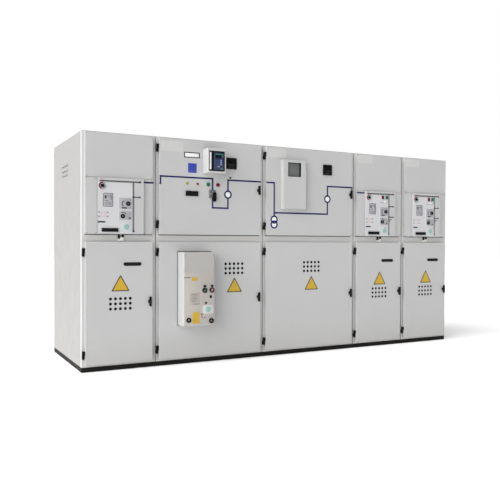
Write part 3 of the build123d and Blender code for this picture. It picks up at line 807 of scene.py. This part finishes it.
class SWITCHGEAR_OT_triangles(bpy.types.Operator):
    """Fix a plain yellow triangular plate on each cable door"""

    bl_idname = "switchgear.triangles"
    bl_label = "Triangular plates"

    def triangle(self, name, x, z, side, face, corner):
        """Make one upright triangular plate with rounded corners, from the middle of its base."""
        deselect()
        radius = side / sqrt(3)
        bpy.ops.mesh.primitive_cylinder_add(
            vertices=3,
            radius=radius * MM,
            depth=TRIANGLE_THICKNESS * MM,
            location=(x * MM, (face - TRIANGLE_THICKNESS / 2) * MM, (z + radius / 2) * MM),
            rotation=(pi / 2, 0, 0),
        )
        piece = settle(bpy.context.object, name)
        top = max(v.co.z for v in piece.data.vertices)
        if abs(top - (z + radius * 1.5) * MM) > 0.01:
            raise RuntimeError("the triangular plate doesn't point up")
        select_upright_edges(piece)
        bpy.ops.mesh.bevel(offset=corner * MM, segments=5, affect="EDGES")
        bpy.ops.object.mode_set(mode="OBJECT")
        return piece

    def execute(self, context):
        size = context.scene.switchgear_sizes
        side = size.triangle_side / MM
        rim_width = size.triangle_rim / MM
        for bay, (x, z) in TRIANGLES.items():
            middle = bay_left(bay) + x
            body = f"cable_door_{bay}_body"
            rim = self.triangle(f"triangle_rim_{bay}", middle, z, side, DOOR_FACE, 9)
            dress(rim, "dark_rim", body)
            inner = side - 2 * sqrt(3) * rim_width
            face = DOOR_FACE - TRIANGLE_THICKNESS
            field = self.triangle(f"triangle_field_{bay}", middle, z + rim_width, inner, face, 7)
            dress(field, "yellow", body)
        return {"FINISHED"}


# Panes lie in their windows' rims, and grey caps in the middles of the knobs, their grey a painted
# highlight on the black knobs
WINDOW_RIM = 5
PANE_SINK = 0.4
PANE_THICKNESS = 0.8
KNOB_HIGHLIGHT_RADIUS = 5.5
KNOB_HIGHLIGHT_SINK = 0.5
KNOB_HIGHLIGHT_THICKNESS = 0.9

# Middle of each field of vent holes, and the black sheet behind it: painted shade that stands for the
# dark inside of the cabinet
VENT_MIDDLES = {1: (300, 529), 2: (704, 792), 3: (503, 796), 4: (300, 529), 5: (300, 529)}
VENT_SHADE_SHEET = (206, 126)
VENT_SHADE_THICKNESS = 1.2
DOOR_SHEET = 2


class SWITCHGEAR_OT_door_fittings(bpy.types.Operator):
    """Glaze the inspection windows, back the vent holes with black sheets as painted shade, and cap
    the wing knobs in grey as a painted highlight
    """

    bl_idname = "switchgear.door_fittings"
    bl_label = "Door fittings"

    def cap(self, name, x, z, face, body):
        """Grey cap over the screw in a knob's middle; its grey is a painted highlight on the black
        knob.
        """
        face += KNOB_HIGHLIGHT_SINK
        cap = disc(name, x, z, KNOB_HIGHLIGHT_RADIUS, face, KNOB_HIGHLIGHT_THICKNESS, 0.4, 20)
        dress(cap, "dark_grey", body)

    def execute(self, context):
        for bay in SWITCH_BAYS:
            node = f"inspection_window_{bay}"
            x, z = span_of(node, "x"), span_of(node, "z")
            tall = z[1] - z[0] - 2 * WINDOW_RIM
            width = x[1] - x[0] - 2 * WINDOW_RIM
            place = (sum(x) / 2, sum(z) / 2, width, tall, low(node).y + PANE_SINK, PANE_THICKNESS)
            pane = rounded_plate(f"window_pane_{bay}", *place, corner=tall * 0.49)
            dress(pane, "glass", f"cable_door_{bay}_body")
        # Grey caps in the middles of the cable doors' knobs: painted highlight
        for bay in BAYS:
            node = f"wing_knob_{bay}"
            x, z = span_of(node, "x"), span_of(node, "z")
            self.cap(f"knob_cap_{bay}", sum(x) / 2, sum(z) / 2, low(node).y, f"wing_knob_{bay}_body")
        # A black sheet just behind each field of vent holes: painted shade, so that the holes look as
        # dark as the shadowed inside of the cabinet
        for bay in BAYS:
            x, z = VENT_MIDDLES[bay]
            face = low(f"cable_door_{bay}").y + DOOR_SHEET + VENT_SHADE_THICKNESS
            name = f"vent_mat_{bay}"
            shade_sheet = plate(name, bay_left(bay) + x, z, *VENT_SHADE_SHEET, face, VENT_SHADE_THICKNESS)
            dress(shade_sheet, "black", f"cable_door_{bay}_body")
        # The upper doors' knobs get the same grey caps as painted highlight
        knob_x, knob_z = span_of("upper_knobs", "x"), span_of("upper_knobs", "z")
        half = (high("wing_knob_2").x - low("wing_knob_2").x) / 2
        for bay, x in ((2, knob_x[0] + half), (3, knob_x[1] - half)):
            self.cap(f"upper_knob_cap_{bay}", x, sum(knob_z) / 2, low("upper_knobs").y, "cabinet")
        return {"FINISHED"}


# Black strips in the joints between the cubicles and under the upper doors and covers: painted shade
# that stands for the shadow in these gaps
UNDER_SHADE_HEIGHT = 6
UNDER_SHADE_DEPTH = 2
JOINT_WIDTH = 4.9
JOINT_SHADE_DEPTH = 9
JOINT_SINK = 0.6
BRACKET_WIDTH = 46


class SWITCHGEAR_OT_joint_shade_strips(bpy.types.Operator):
    """Put black strips into the joints and under the upper doors and covers, as painted shade in these
    gaps
    """

    bl_idname = "switchgear.joint_seals"
    bl_label = "Joint seals"

    def execute(self, context):
        front, back = low("front_posts").y + JOINT_SINK, REAR_FACE - JOINT_SINK
        bottom, top = low("front_posts").z, high("roof_panels").z - JOINT_SINK
        # A black strip down each joint at the front and back and over the top: painted shade for the
        # shadow in the gap
        gap_shade_pieces = []
        for bay in BAYS[1:]:
            x = around(bay_left(bay), JOINT_WIDTH)
            gap_shade_pieces.append(block("seal", x, (front, front + JOINT_SHADE_DEPTH), (bottom, top), 0.4))
            gap_shade_pieces.append(block("seal", x, (back - JOINT_SHADE_DEPTH, back), (bottom, top), 0.4))
            over = (front + JOINT_SHADE_DEPTH, back - JOINT_SHADE_DEPTH)
            gap_shade_pieces.append(block("seal", x, over, (top - JOINT_SHADE_DEPTH, top), 0.4))
        dress(join("joint_seals", gap_shade_pieces), "black")
        # A black strip under each upper door and cover, broken at the interlock brackets: painted
        # shadow under their lower edges
        face = low("front_posts").y
        bracket = high("interlock_brackets").x - bay_left(5)
        lips = []
        for bay in BAYS:
            start, end = span_of(f"cable_door_{bay}", "x")
            spans = ((start, end),)
            if bay in SWITCH_BAYS:
                bracket_end = bay_left(bay) + bracket
                spans = ((start, bracket_end - BRACKET_WIDTH), (bracket_end, end))
            z = (low("drive_covers").z - UNDER_SHADE_HEIGHT, low("drive_covers").z)
            lips += [block("lip", x, (face - UNDER_SHADE_DEPTH, face), z, 0.4) for x in spans]
        dress(join("under_seals", lips), "black")
        return {"FINISHED"}


# Blank plates at the top left of the upper doors and covers: middle, width and height
BLANK_PLATES = {
    2: (135, 1809, 194, 86),
    3: (134.5, 1817.5, 181, 79),
    4: (119.5, 1824.5, 177, 77),
    5: (119.5, 1824.5, 177, 77),
}
BLANK_CORNER = 2


class SWITCHGEAR_OT_blank_plates(bpy.types.Operator):
    """Fix a blank pale plate at the top left of four cubicles"""

    bl_idname = "switchgear.blank_plates"
    bl_label = "Blank plates"

    def execute(self, context):
        thin = context.scene.switchgear_sizes.label_thickness / MM
        for bay, (x, z, width, tall) in BLANK_PLATES.items():
            name = f"blank_plate_{bay}"
            x += bay_left(bay)
            dress(rounded_plate(name, x, z, width, tall, DOOR_FACE, thin, BLANK_CORNER), "pale_film")
        return {"FINISHED"}


# Drive fronts, from the cubicle's left edge and the floor; the tables are for lay_prints
LINE_PLACE = 399
LINE_END = 1104
BAR_LEVEL = 1494
BAR_SPAN = (130, 452)
BRANCH_LENGTH = 52
BRANCH_LEVELS = {1: (1374,), 4: (1374, 1270), 5: (1374, 1270)}
LABEL_FRAME = (194, 1347, 80, 106)
SYMBOL_FRAME = (157, 1233, 30, 38)
DRIVE_SEAL = (342, 1137)
SEAL_RADIUS = 23
SEAL_THICKNESS = 0.4
SOCKET_RADIUS = 17
SHAFT_PLACES = (353, 309)
DIAL_PLACE = 147
DIAL_SINK = 3
LABEL_MARKS = (
    (206, 1377, 30, 5),
    (218, 1363, 5, 30),
    (174, 1369, 16, 26),
    (182, 1341, 30, 4),
    (194, 1323, 54, 3),
    (194, 1313, 54, 3),
)
SYMBOL_MARKS = [(x, z, 14, 9) for x in (124, 190) for z in (1249, 1217)]
SEATS = ((330.5, 1321, 99, 86), (330.5, 1227.5, 99, 67))
INDICATOR_LAMPS = [(x, 14, 12, 4) for x in (165, 195, 225)]
COVER_PRINTS = {
    "drive_line": ("line_grey", 0, 0.8, 0.2, ((LINE_PLACE, 1296, 12, 384),)),
    "drive_top_mark": ("pink_film", 0, 0.4, 0.1, ((145, 1510, 22, 8),)),
}
PLATE_PRINTS = {
    "drive_label_field": ("label_film", 0, 0.3, 0.1, ((194, 1347, 74, 100),)),
    "drive_label": ("line_dark", 0.3, 0.3, 0.1, LABEL_MARKS),
    "drive_seal_sheet": ("white_film", 0, 0.4, 0.1, ((336, 1139, 92, 82),)),
    "drive_bar": ("black_film", 0, 0.4, 0.1, ((142, 1174, 59, 12),)),
    "drive_symbols": ("line_grey", 0, 0.3, 0.1, SYMBOL_MARKS),
}
SEAT_PRINTS = {"drive_seats": ("seat", 0, 0.5, 0.2, SEATS)}
MOTOR_PRINTS = {
    "drive_tab": ("white", 0, 3, 0.5, ((344, 1420, 28, 15),)),
    "drive_tab_base": ("seat", 0, 1, 0.3, ((330, 1412, 90, 12),)),
}
INDICATOR_PRINTS = {"indicator_lamps": ("glass", 0, 0.5, 0.1, INDICATOR_LAMPS)}

# Arcs of the position dial: finish, radius, width, start and turn in half turns, and thickness
DIAL_ARCS = {
    "dial_red": ("red", 28, 11, 0.45, 1.0, 0.6),
    "dial_green": ("green", 20, 5, -0.35, 0.7, 0.8),
    "dial_rim": ("line_dark", 28, 3.5, -0.55, 1.0, 0.6),
}


class SWITCHGEAR_OT_drive_prints(bpy.types.Operator):
    """Print the mimic, labels and seals on the switch drives' fronts"""

    bl_idname = "switchgear.drive_prints"
    bl_label = "Drive prints"

    def drive_mimic(self, bay, left):
        """Bar and branches of one drive's mimic."""
        line = left + LINE_PLACE
        bar = [left + x for x in BAR_SPAN]
        parts = [
            block("bar", bar, (DRIVE_FACE - 1.5, DRIVE_FACE), around(BAR_LEVEL, 10), 0.6),
            disc("end", line, LINE_END, 9, DRIVE_FACE, 1.4),
            disc("end", bar[1], BAR_LEVEL, 9, DRIVE_FACE, 2),
        ]
        for level in BRANCH_LEVELS[bay]:
            branch = (line, line + BRANCH_LENGTH)
            parts.append(block("branch", branch, (DRIVE_FACE - 1, DRIVE_FACE), around(level, 9), 0.2))
            parts.append(disc("knot", line, level, 10, DRIVE_FACE, 1.4))
            parts.append(disc("knot", branch[1], level, 8, DRIVE_FACE, 1.4))
        if bay in MOTOR_BAYS:
            middle = line + 28
            parts.append(arc_band("sweep", middle, 1226, 24, 7, pi * 0.35, pi * 0.65, DRIVE_FACE, 0.8))
        dress(join(f"drive_mimic_{bay}", parts), "line_dark")

    def sockets(self, bay, left):
        """Curved lever marks beside the two sockets, and the shafts' ends in them."""
        face = SEAT_FACE - 0.5
        marks = [
            arc_band("lever", left + 326, 1320, 26, 8, pi * 0.55, pi * 0.8, face, 0.4),
            plate("lever", left + 322, 1287, 40, 12, face, 0.4, 0.1),
            arc_band("lever", left + 312, 1229, 26, 6, pi * 0.1, pi * 0.6, face, 0.4),
            plate("lever", left + 366, 1206, 16, 14, face, 0.4, 0.1),
        ]
        dress(join(f"drive_lever_marks_{bay}", marks), "line_dark")
        bottom, top = span_of("drive_sockets", "z")
        levels = (top - SOCKET_RADIUS, bottom + SOCKET_RADIUS)
        shafts = [
            disc("shaft", left + x, z, 4.5, SEAT_FACE, 4, 0.8, 6)
            for x, z in zip(SHAFT_PLACES, levels)
        ]
        dress(join(f"drive_shafts_{bay}", shafts), "shaft")

    def dial(self, bay, x):
        """Red and green arcs and the black hub of the position dial."""
        z = sum(span_of("position_dials", "z")) / 2
        face = low("position_dials").y + DIAL_SINK
        for name, (finish, radius, width, start, turn, thick) in DIAL_ARCS.items():
            arc = arc_band(f"{name}_{bay}", x, z, radius, width, pi * start, pi * turn, face, thick)
            dress(arc, finish)
        dress(disc(f"dial_hub_{bay}", x, z, 14, face, 5, 1.2), "black")

    def frames(self, bay, left, thin):
        """Rims of the label and of the symbol below it."""
        x, z, width, tall = LABEL_FRAME
        rim = rounded_frame(f"drive_label_rim_{bay}", left + x, z, width, tall, 4, PLATE_FACE, thin, 9)
        dress(rim, "line_dark")
        x, z, width, tall = SYMBOL_FRAME
        name = f"drive_symbol_frame_{bay}"
        dress(rounded_frame(name, left + x, z, width, tall, 3, PLATE_FACE, 0.4, 7), "pink_film")

    def execute(self, context):
        thin = context.scene.switchgear_sizes.label_thickness / MM
        indicator = low("voltage_indicators")
        for bay in SWITCH_BAYS:
            left = bay_left(bay)
            suffix = f"_{bay}"
            self.drive_mimic(bay, left)
            self.sockets(bay, left)
            self.frames(bay, left, thin)
            self.dial(bay, left + DIAL_PLACE)
            lay_prints(COVER_PRINTS, left, DRIVE_FACE, suffix)
            lay_prints(PLATE_PRINTS, left, PLATE_FACE, suffix)
            lay_prints(SEAT_PRINTS, left, SEAT_FACE, suffix)
            lay_prints(INDICATOR_PRINTS, left, indicator.y, suffix, indicator.z)
            if bay in MOTOR_BAYS:
                lay_prints(MOTOR_PRINTS, left, PLATE_FACE, suffix)
            x, z = DRIVE_SEAL
            face = PLATE_FACE - SEAL_THICKNESS
            seal = disc(f"drive_seal_{bay}", left + x, z, SEAL_RADIUS, face, SEAL_THICKNESS, 0.1)
            dress(seal, "teal_film")
        return {"FINISHED"}


# Breaker front, from its cubicle's left edge and the floor; the table is for lay_prints
FRONT_SHEET_MARGIN = 5
BREAKER_SEAL = (402, 464)
LABEL_LINES = [(273, 592 - 12 * i, 56 - 9 * (i % 3), 3) for i in range(6)] + [(293, 512, 60, 4)]
BREAKER_PRINTS = {
    "breaker_label_field": ("beige_film", 0, 0.3, 0.1, ((281, 556, 87, 102),)),
    "breaker_label_lines": ("line_grey", 0.3, 0.2, 0.05, LABEL_LINES),
    "breaker_seal_sheet": ("white_film", 0, 0.4, 0.1, ((402, 464, 98, 70),)),
    "breaker_counter": ("meter", 0, 3, 0.6, ((425, 568, 18, 22),)),
    "breaker_spring_window": ("dark_grey", 0, 3, 0.6, ((381, 518, 17, 17),)),
    "breaker_bar": ("black_film", 0, 0.4, 0.1, ((216, 729, 60, 5),)),
}

# Round marks in the breaker's two caps: finish, middle, radius, thickness and sides
CAP_MARKS = {
    "breaker_green_disc": ("dark_green", 370, 622, 11, 0.5, 32),
    "breaker_mark_green_buttons": ("pale_green", 370, 622, 4, 0.6, 24),
    "breaker_mark_red_buttons": ("pale_red", 435, 622, 8, 0.6, 24),
}
CAP_REACH = 6


class SWITCHGEAR_OT_breaker_prints(bpy.types.Operator):
    """Put the front sheet, label, seal, counters and lever mark on the breaker"""

    bl_idname = "switchgear.breaker_prints"
    bl_label = "Breaker prints"

    def execute(self, context):
        left = bay_left(2)
        thin = context.scene.switchgear_sizes.label_thickness / MM
        inside = [
            (start + FRONT_SHEET_MARGIN, end - FRONT_SHEET_MARGIN)
            for start, end in (span_of("breaker_housing", "x"), span_of("breaker_housing", "z"))
        ]
        face = BREAKER_FACE - thin
        front = block("breaker_front_sheet", inside[0], (face, BREAKER_FACE), inside[1], 0.3)
        dress(front, "breaker_front")
        lay_prints(BREAKER_PRINTS, left, face)
        x, z = BREAKER_SEAL
        sheet = face - SEAL_THICKNESS
        dress(disc("breaker_seal", left + x, z, SEAL_RADIUS, sheet, SEAL_THICKNESS, 0.1), "teal_film")
        lever = [
            arc_band("sweep", left + 396, 418, 54, 5, pi * 0.9, pi * 0.28, face, 0.4),
            plate("tip", left + 372, 398, 16, 6, face, 0.4, 0.1),
            plate("tip", left + 346, 428, 30, 5, face, 0.4, 0.1),
        ]
        dress(join("breaker_lever_mark", lever), "line_dark")
        caps = BREAKER_FACE - CAP_REACH
        for name, (finish, x, z, radius, thick, sides) in CAP_MARKS.items():
            dress(disc(name, left + x, z, radius, caps, thick, 0.2, sides), finish)
        return {"FINISHED"}


# Instrument fittings, from the cubicle's left edge and the floor; the tables are for lay_prints
NAMEPLATE = (308, 1745, 140, 46)
METER_BAYS = (2, 3)
METER_RECESS = 4
RED_LAMP_RADIUS = 9.5
DOOR_PRINTS = {
    "nameplate_card": ("bright_film", 0, 1, 0.2, ((308, 1745, 128, 34),)),
    "blue_plate": ("blue", 0, 1.2, 0.5, ((312, 1637, 78, 80),)),
}
METER_PRINTS = {
    "meter_window": ("glass", 0, 1.5, 0.4, ((674, 1704, 70, 52),)),
    "meter_keys": ("dark_grey", 0, 1.8, 0.5, [(650 + 16 * i, 1665, 11, 5) for i in range(4)]),
    "meter_marks": ("white", 0, 1.8, 0.4, ((660, 1655, 9, 4), (688, 1655, 9, 4))),
}

# The relay's face, from its top left corner; most of it lies on the navy panel
RELAY_LIFT = 1.2
RELAY_LAMPS = [(52, -30 - 13 * i) for i in range(8)]
RELAY_BARS = ((88, -26, 52, 8), (126, -36, 10, 30), (118, -147, 24, 12))
RELAY_KEYS = [(62 + 15 * i, -78 - 16 * j, 10, 9) for i in range(3) for j in range(3)]
RELAY_PALE_KEYS = [(112, -78 - 16 * j, 13, 13) for j in range(3)] + [(88, -130, 18, 9)]
RELAY_PRINTS = {
    "relay_strip": ("white", 0, 2, 0.4, ((15, -83.5, 14, 143),)),
    "relay_panel": ("navy", 0, RELAY_LIFT, 0.4, ((91.5, -84.5, 95, 145),)),
    "relay_screen": ("glass", RELAY_LIFT, 1.0, 0.3, ((86, -46, 50, 26),)),
    "relay_light_bars": ("teal_dark", RELAY_LIFT, 0.6, 0.2, RELAY_BARS),
    "relay_keys": ("key_dark", RELAY_LIFT, 1.4, 0.5, RELAY_KEYS),
    "relay_pale_keys": ("key", RELAY_LIFT, 1.4, 0.5, RELAY_PALE_KEYS),
}


class SWITCHGEAR_OT_instruments(bpy.types.Operator):
    """Finish the relay, meters, recorder, nameplate and annunciator"""

    bl_idname = "switchgear.instruments"
    bl_label = "Instruments"

    def lining(self, name, x, depth, z, band):
        """Black rubber lining of a window, as four strips along its sides."""
        across = (x[0] + band, x[1] - band)
        sides = [
            block("side", (x[0], across[0]), depth, z, 0.4),
            block("side", (across[1], x[1]), depth, z, 0.4),
            block("side", across, depth, (z[0], z[0] + band), 0.4),
            block("side", across, depth, (z[1] - band, z[1]), 0.4),
        ]
        dress(join(name, sides), "black")

    def relay(self):
        """Lining, strip, navy panel, screen, keys and lamps of the relay."""
        x, z = span_of("relay_face", "x"), span_of("relay_face", "z")
        self.lining("relay_lining", x, (RELAY_FRONT + 0.5, RELAY_FACE), z, 5)
        left, top = x[0], z[1]
        lay_prints(RELAY_PRINTS, left, RELAY_FACE, bottom=top)
        face = RELAY_FACE - RELAY_LIFT
        lamps = [disc("lamp", left + x, top + z, 2.6, face, 1.0, 0.4, 16) for x, z in RELAY_LAMPS]
        dress(join("relay_lamps", lamps), "green")

    def recorder(self):
        """Rubber lining of the recorder's window."""
        x, z = span_of("recorder_screen", "x"), span_of("recorder_screen", "z")
        screen = low("recorder_screen").y
        self.lining("recorder_lining", x, (RECORDER_FACE + 0.5, screen), z, 3)

    def annunciator(self):
        """Ten dark windows of the annunciator."""
        face = low("annunciator").y
        start, end = span_of("annunciator", "x")
        bottom, top = span_of("annunciator", "z")
        wide = (end - start - 14) / 5
        tall = (top - bottom - 12) / 2
        cells = []
        for column in range(5):
            for row in range(2):
                x = start + 7 + wide * (column + 0.5)
                z = bottom + 6 + tall * (row + 0.5)
                cells.append(plate("cell", x, z, wide - 2.5, tall - 2.5, face, 0.8, 0.3))
        dress(join("annunciator_cells", cells), "glass")

    def signals(self, left):
        """Cap of the red lamp, marks on the control switch, and a pin."""
        lamp_x, lamp_z = span_of("signal_lamps", "x"), span_of("signal_lamps", "z")
        x = lamp_x[1] - (lamp_z[1] - lamp_z[0]) / 2
        face = low("signal_lamps").y + 0.6
        dress(disc("red_lamp_cap", x, sum(lamp_z) / 2, RED_LAMP_RADIUS, face, 2, 0.8), "red")
        start, end = low("control_switch_plate"), high("control_switch_plate")
        middle, size = (start + end) / 2, end - start
        rim_size = (size.x - 2, size.z - 2)
        marks = [rounded_frame("rim", middle.x, middle.z, *rim_size, 3, start.y, 0.6, 3)]
        for x in (middle.x - size.x / 4, middle.x + size.x / 4):
            for z in (middle.z - size.z / 4, middle.z + size.z / 4):
                marks.append(plate("quarter", x, z, size.x / 5, size.z / 5, start.y, 0.6, 0.2))
        dress(join("control_switch_marks", marks), "line_dark")
        dress(disc("door_pin", left + 666, 1573, 8, DOOR_FACE, 4, 1), "black")

    def execute(self, context):
        left = bay_left(2)
        x, z, width, tall = NAMEPLATE
        rim = rounded_frame("nameplate_rim", left + x, z, width, tall, 7, DOOR_FACE, 2, 3)
        dress(rim, "meter")
        lay_prints(DOOR_PRINTS, left, DOOR_FACE)
        self.relay()
        for bay in METER_BAYS:
            lay_prints(METER_PRINTS, bay_left(bay), METER_FACE + METER_RECESS, f"_{bay}")
        self.recorder()
        self.annunciator()
        self.signals(left)
        return {"FINISHED"}


# Camera as solved from the photograph, in metres and degrees
CAMERA_PLACE = (-3.0408, -4.9658, 1.0270)
CAMERA_YAW = 27.913
CAMERA_PITCH = -0.789
CAMERA_ROLL = 0.203
CAMERA_LENS = 45.6
FLOOR_SIZE = 60

# The studio's dome: an even dim wall, a bright side towards the left and a pale ceiling
DOME_WALL = 0.12
DOME_SIDE = 5.7
DOME_SIDE_WAY = (-0.97, -0.12, 0.2)
DOME_SIDE_EDGE = 0.5
DOME_CEILING = 1.0
DOME_CEILING_EDGE = 0.5

# The softbox, in metres and watts
SOFTBOX_PLACE = (-7.0, -8.0, 4.5)
SOFTBOX_AIM = (-0.3, 0, 0.9)
SOFTBOX_SIDE = 5
SOFTBOX_POWER = 70


class SWITCHGEAR_OT_stage(bpy.types.Operator):
    """Set the floor, the camera and the soft studio light"""

    bl_idname = "switchgear.stage"
    bl_label = "Floor, camera and light"

    def softbox(self):
        """Soft area light at the front left."""
        data = bpy.data.lights.new("front_left_softbox", "AREA")
        data.shape = "RECTANGLE"
        data.size = data.size_y = SOFTBOX_SIDE
        data.energy = SOFTBOX_POWER
        light = bpy.data.objects.new("front_left_softbox", data)
        light.location = SOFTBOX_PLACE
        way = Vector(SOFTBOX_AIM) - Vector(SOFTBOX_PLACE)
        light.rotation_euler = way.to_track_quat("-Z", "Y").to_euler()
        bpy.context.scene.collection.objects.link(light)

    def dome(self):
        """Soft dome that is brightest at the left and shows plain white to the camera."""
        world = bpy.data.worlds.new("studio_dome")
        world.use_nodes = True
        tree = world.node_tree
        way = add_node(tree, "ShaderNodeTexCoord").outputs["Generated"]
        side_way = {1: Vector(DOME_SIDE_WAY).normalized()}
        towards = add_node(tree, "ShaderNodeVectorMath", side_way, {0: way}, operation="DOT_PRODUCT")
        ramp = {"From Min": DOME_SIDE_EDGE, "From Max": 1.0, "To Min": DOME_WALL, "To Max": DOME_SIDE}
        side = add_node(tree, "ShaderNodeMapRange", ramp, {"Value": towards.outputs["Value"]})
        up = add_node(tree, "ShaderNodeSeparateXYZ", links={"Vector": way})
        ramp = {"From Min": DOME_CEILING_EDGE, "From Max": 1.0, "To Min": 0.0, "To Max": DOME_CEILING}
        ceiling = add_node(tree, "ShaderNodeMapRange", ramp, {"Value": up.outputs["Z"]})
        parts = {0: side.outputs["Result"], 1: ceiling.outputs["Result"]}
        light = add_node(tree, "ShaderNodeMath", links=parts, operation="ADD")
        seen = add_node(tree, "ShaderNodeLightPath")
        ways = {MIX_FACTOR: seen.outputs["Is Camera Ray"], MIX_NUMBERS[0]: light.outputs["Value"]}
        both = add_node(tree, "ShaderNodeMix", {MIX_NUMBERS[1]: 1.0}, ways, data_type="FLOAT")
        backdrop = tree.nodes["Background"]
        backdrop.inputs["Color"].default_value = linear("#FFFFFF")
        tree.links.new(both.outputs[MIXED_NUMBER], backdrop.inputs["Strength"])
        bpy.context.scene.world = world

    def execute(self, context):
        deselect()
        bpy.ops.mesh.primitive_plane_add(size=FLOOR_SIZE)
        floor = settle(bpy.context.object, "studio_floor")
        floor.data.materials.append(MATERIALS["floor"])

        data = bpy.data.cameras.new("photo_camera")
        data.lens = CAMERA_LENS
        data.sensor_width = 36
        camera = bpy.data.objects.new("photo_camera", data)
        turn = Euler((radians(90 + CAMERA_PITCH), 0, radians(-CAMERA_YAW))).to_matrix()
        turn = turn @ Matrix.Rotation(radians(CAMERA_ROLL), 3, "Z")
        camera.matrix_world = Matrix.Translation(CAMERA_PLACE) @ turn.to_4x4()
        context.scene.collection.objects.link(camera)
        context.scene.camera = camera

        self.softbox()
        self.dome()
        context.scene.view_settings.view_transform = "Standard"
        return {"FINISHED"}


OPERATORS = (
    SWITCHGEAR_OT_finishes,
    SWITCHGEAR_OT_front_screws,
    SWITCHGEAR_OT_rear_screws,
    SWITCHGEAR_OT_mimic_lines,
    SWITCHGEAR_OT_triangles,
    SWITCHGEAR_OT_door_fittings,
    SWITCHGEAR_OT_joint_shade_strips,
    SWITCHGEAR_OT_blank_plates,
    SWITCHGEAR_OT_drive_prints,
    SWITCHGEAR_OT_breaker_prints,
    SWITCHGEAR_OT_instruments,
    SWITCHGEAR_OT_stage,
)


class SWITCHGEAR_PT_panel(bpy.types.Panel):
    """Sidebar panel with the row's sizes, colours and pieces"""

    bl_idname = "SWITCHGEAR_PT_panel"
    bl_label = "Switchgear row"
    bl_space_type = "VIEW_3D"
    bl_region_type = "UI"
    bl_category = "Switchgear"

    def draw(self, context):
        for group in (context.scene.switchgear_sizes, context.scene.switchgear_colours):
            for name in group.__annotations__:
                self.layout.prop(group, name)
        for operator in OPERATORS:
            self.layout.operator(operator.bl_idname)


CLASSES = (SwitchgearSizes, SwitchgearColours, *OPERATORS, SWITCHGEAR_PT_panel)


def register():
    """Register the classes and hang the settings on the scene."""
    for cls in CLASSES:
        bpy.utils.register_class(cls)
    bpy.types.Scene.switchgear_sizes = bpy.props.PointerProperty(type=SwitchgearSizes)
    bpy.types.Scene.switchgear_colours = bpy.props.PointerProperty(type=SwitchgearColours)


def unregister():
    """Take the settings and classes away again."""
    del bpy.types.Scene.switchgear_colours
    del bpy.types.Scene.switchgear_sizes
    for cls in reversed(CLASSES):
        bpy.utils.unregister_class(cls)


def main():
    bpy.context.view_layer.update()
    register()
    bpy.ops.switchgear.finishes()
    bpy.ops.switchgear.front_screws()
    bpy.ops.switchgear.rear_screws()
    bpy.ops.switchgear.mimic_lines()
    bpy.ops.switchgear.triangles()
    bpy.ops.switchgear.door_fittings()
    bpy.ops.switchgear.joint_seals()
    bpy.ops.switchgear.blank_plates()
    bpy.ops.switchgear.drive_prints()
    bpy.ops.switchgear.breaker_prints()
    bpy.ops.switchgear.instruments()
    bpy.ops.switchgear.stage()


if __name__ == "__main__":
    main()
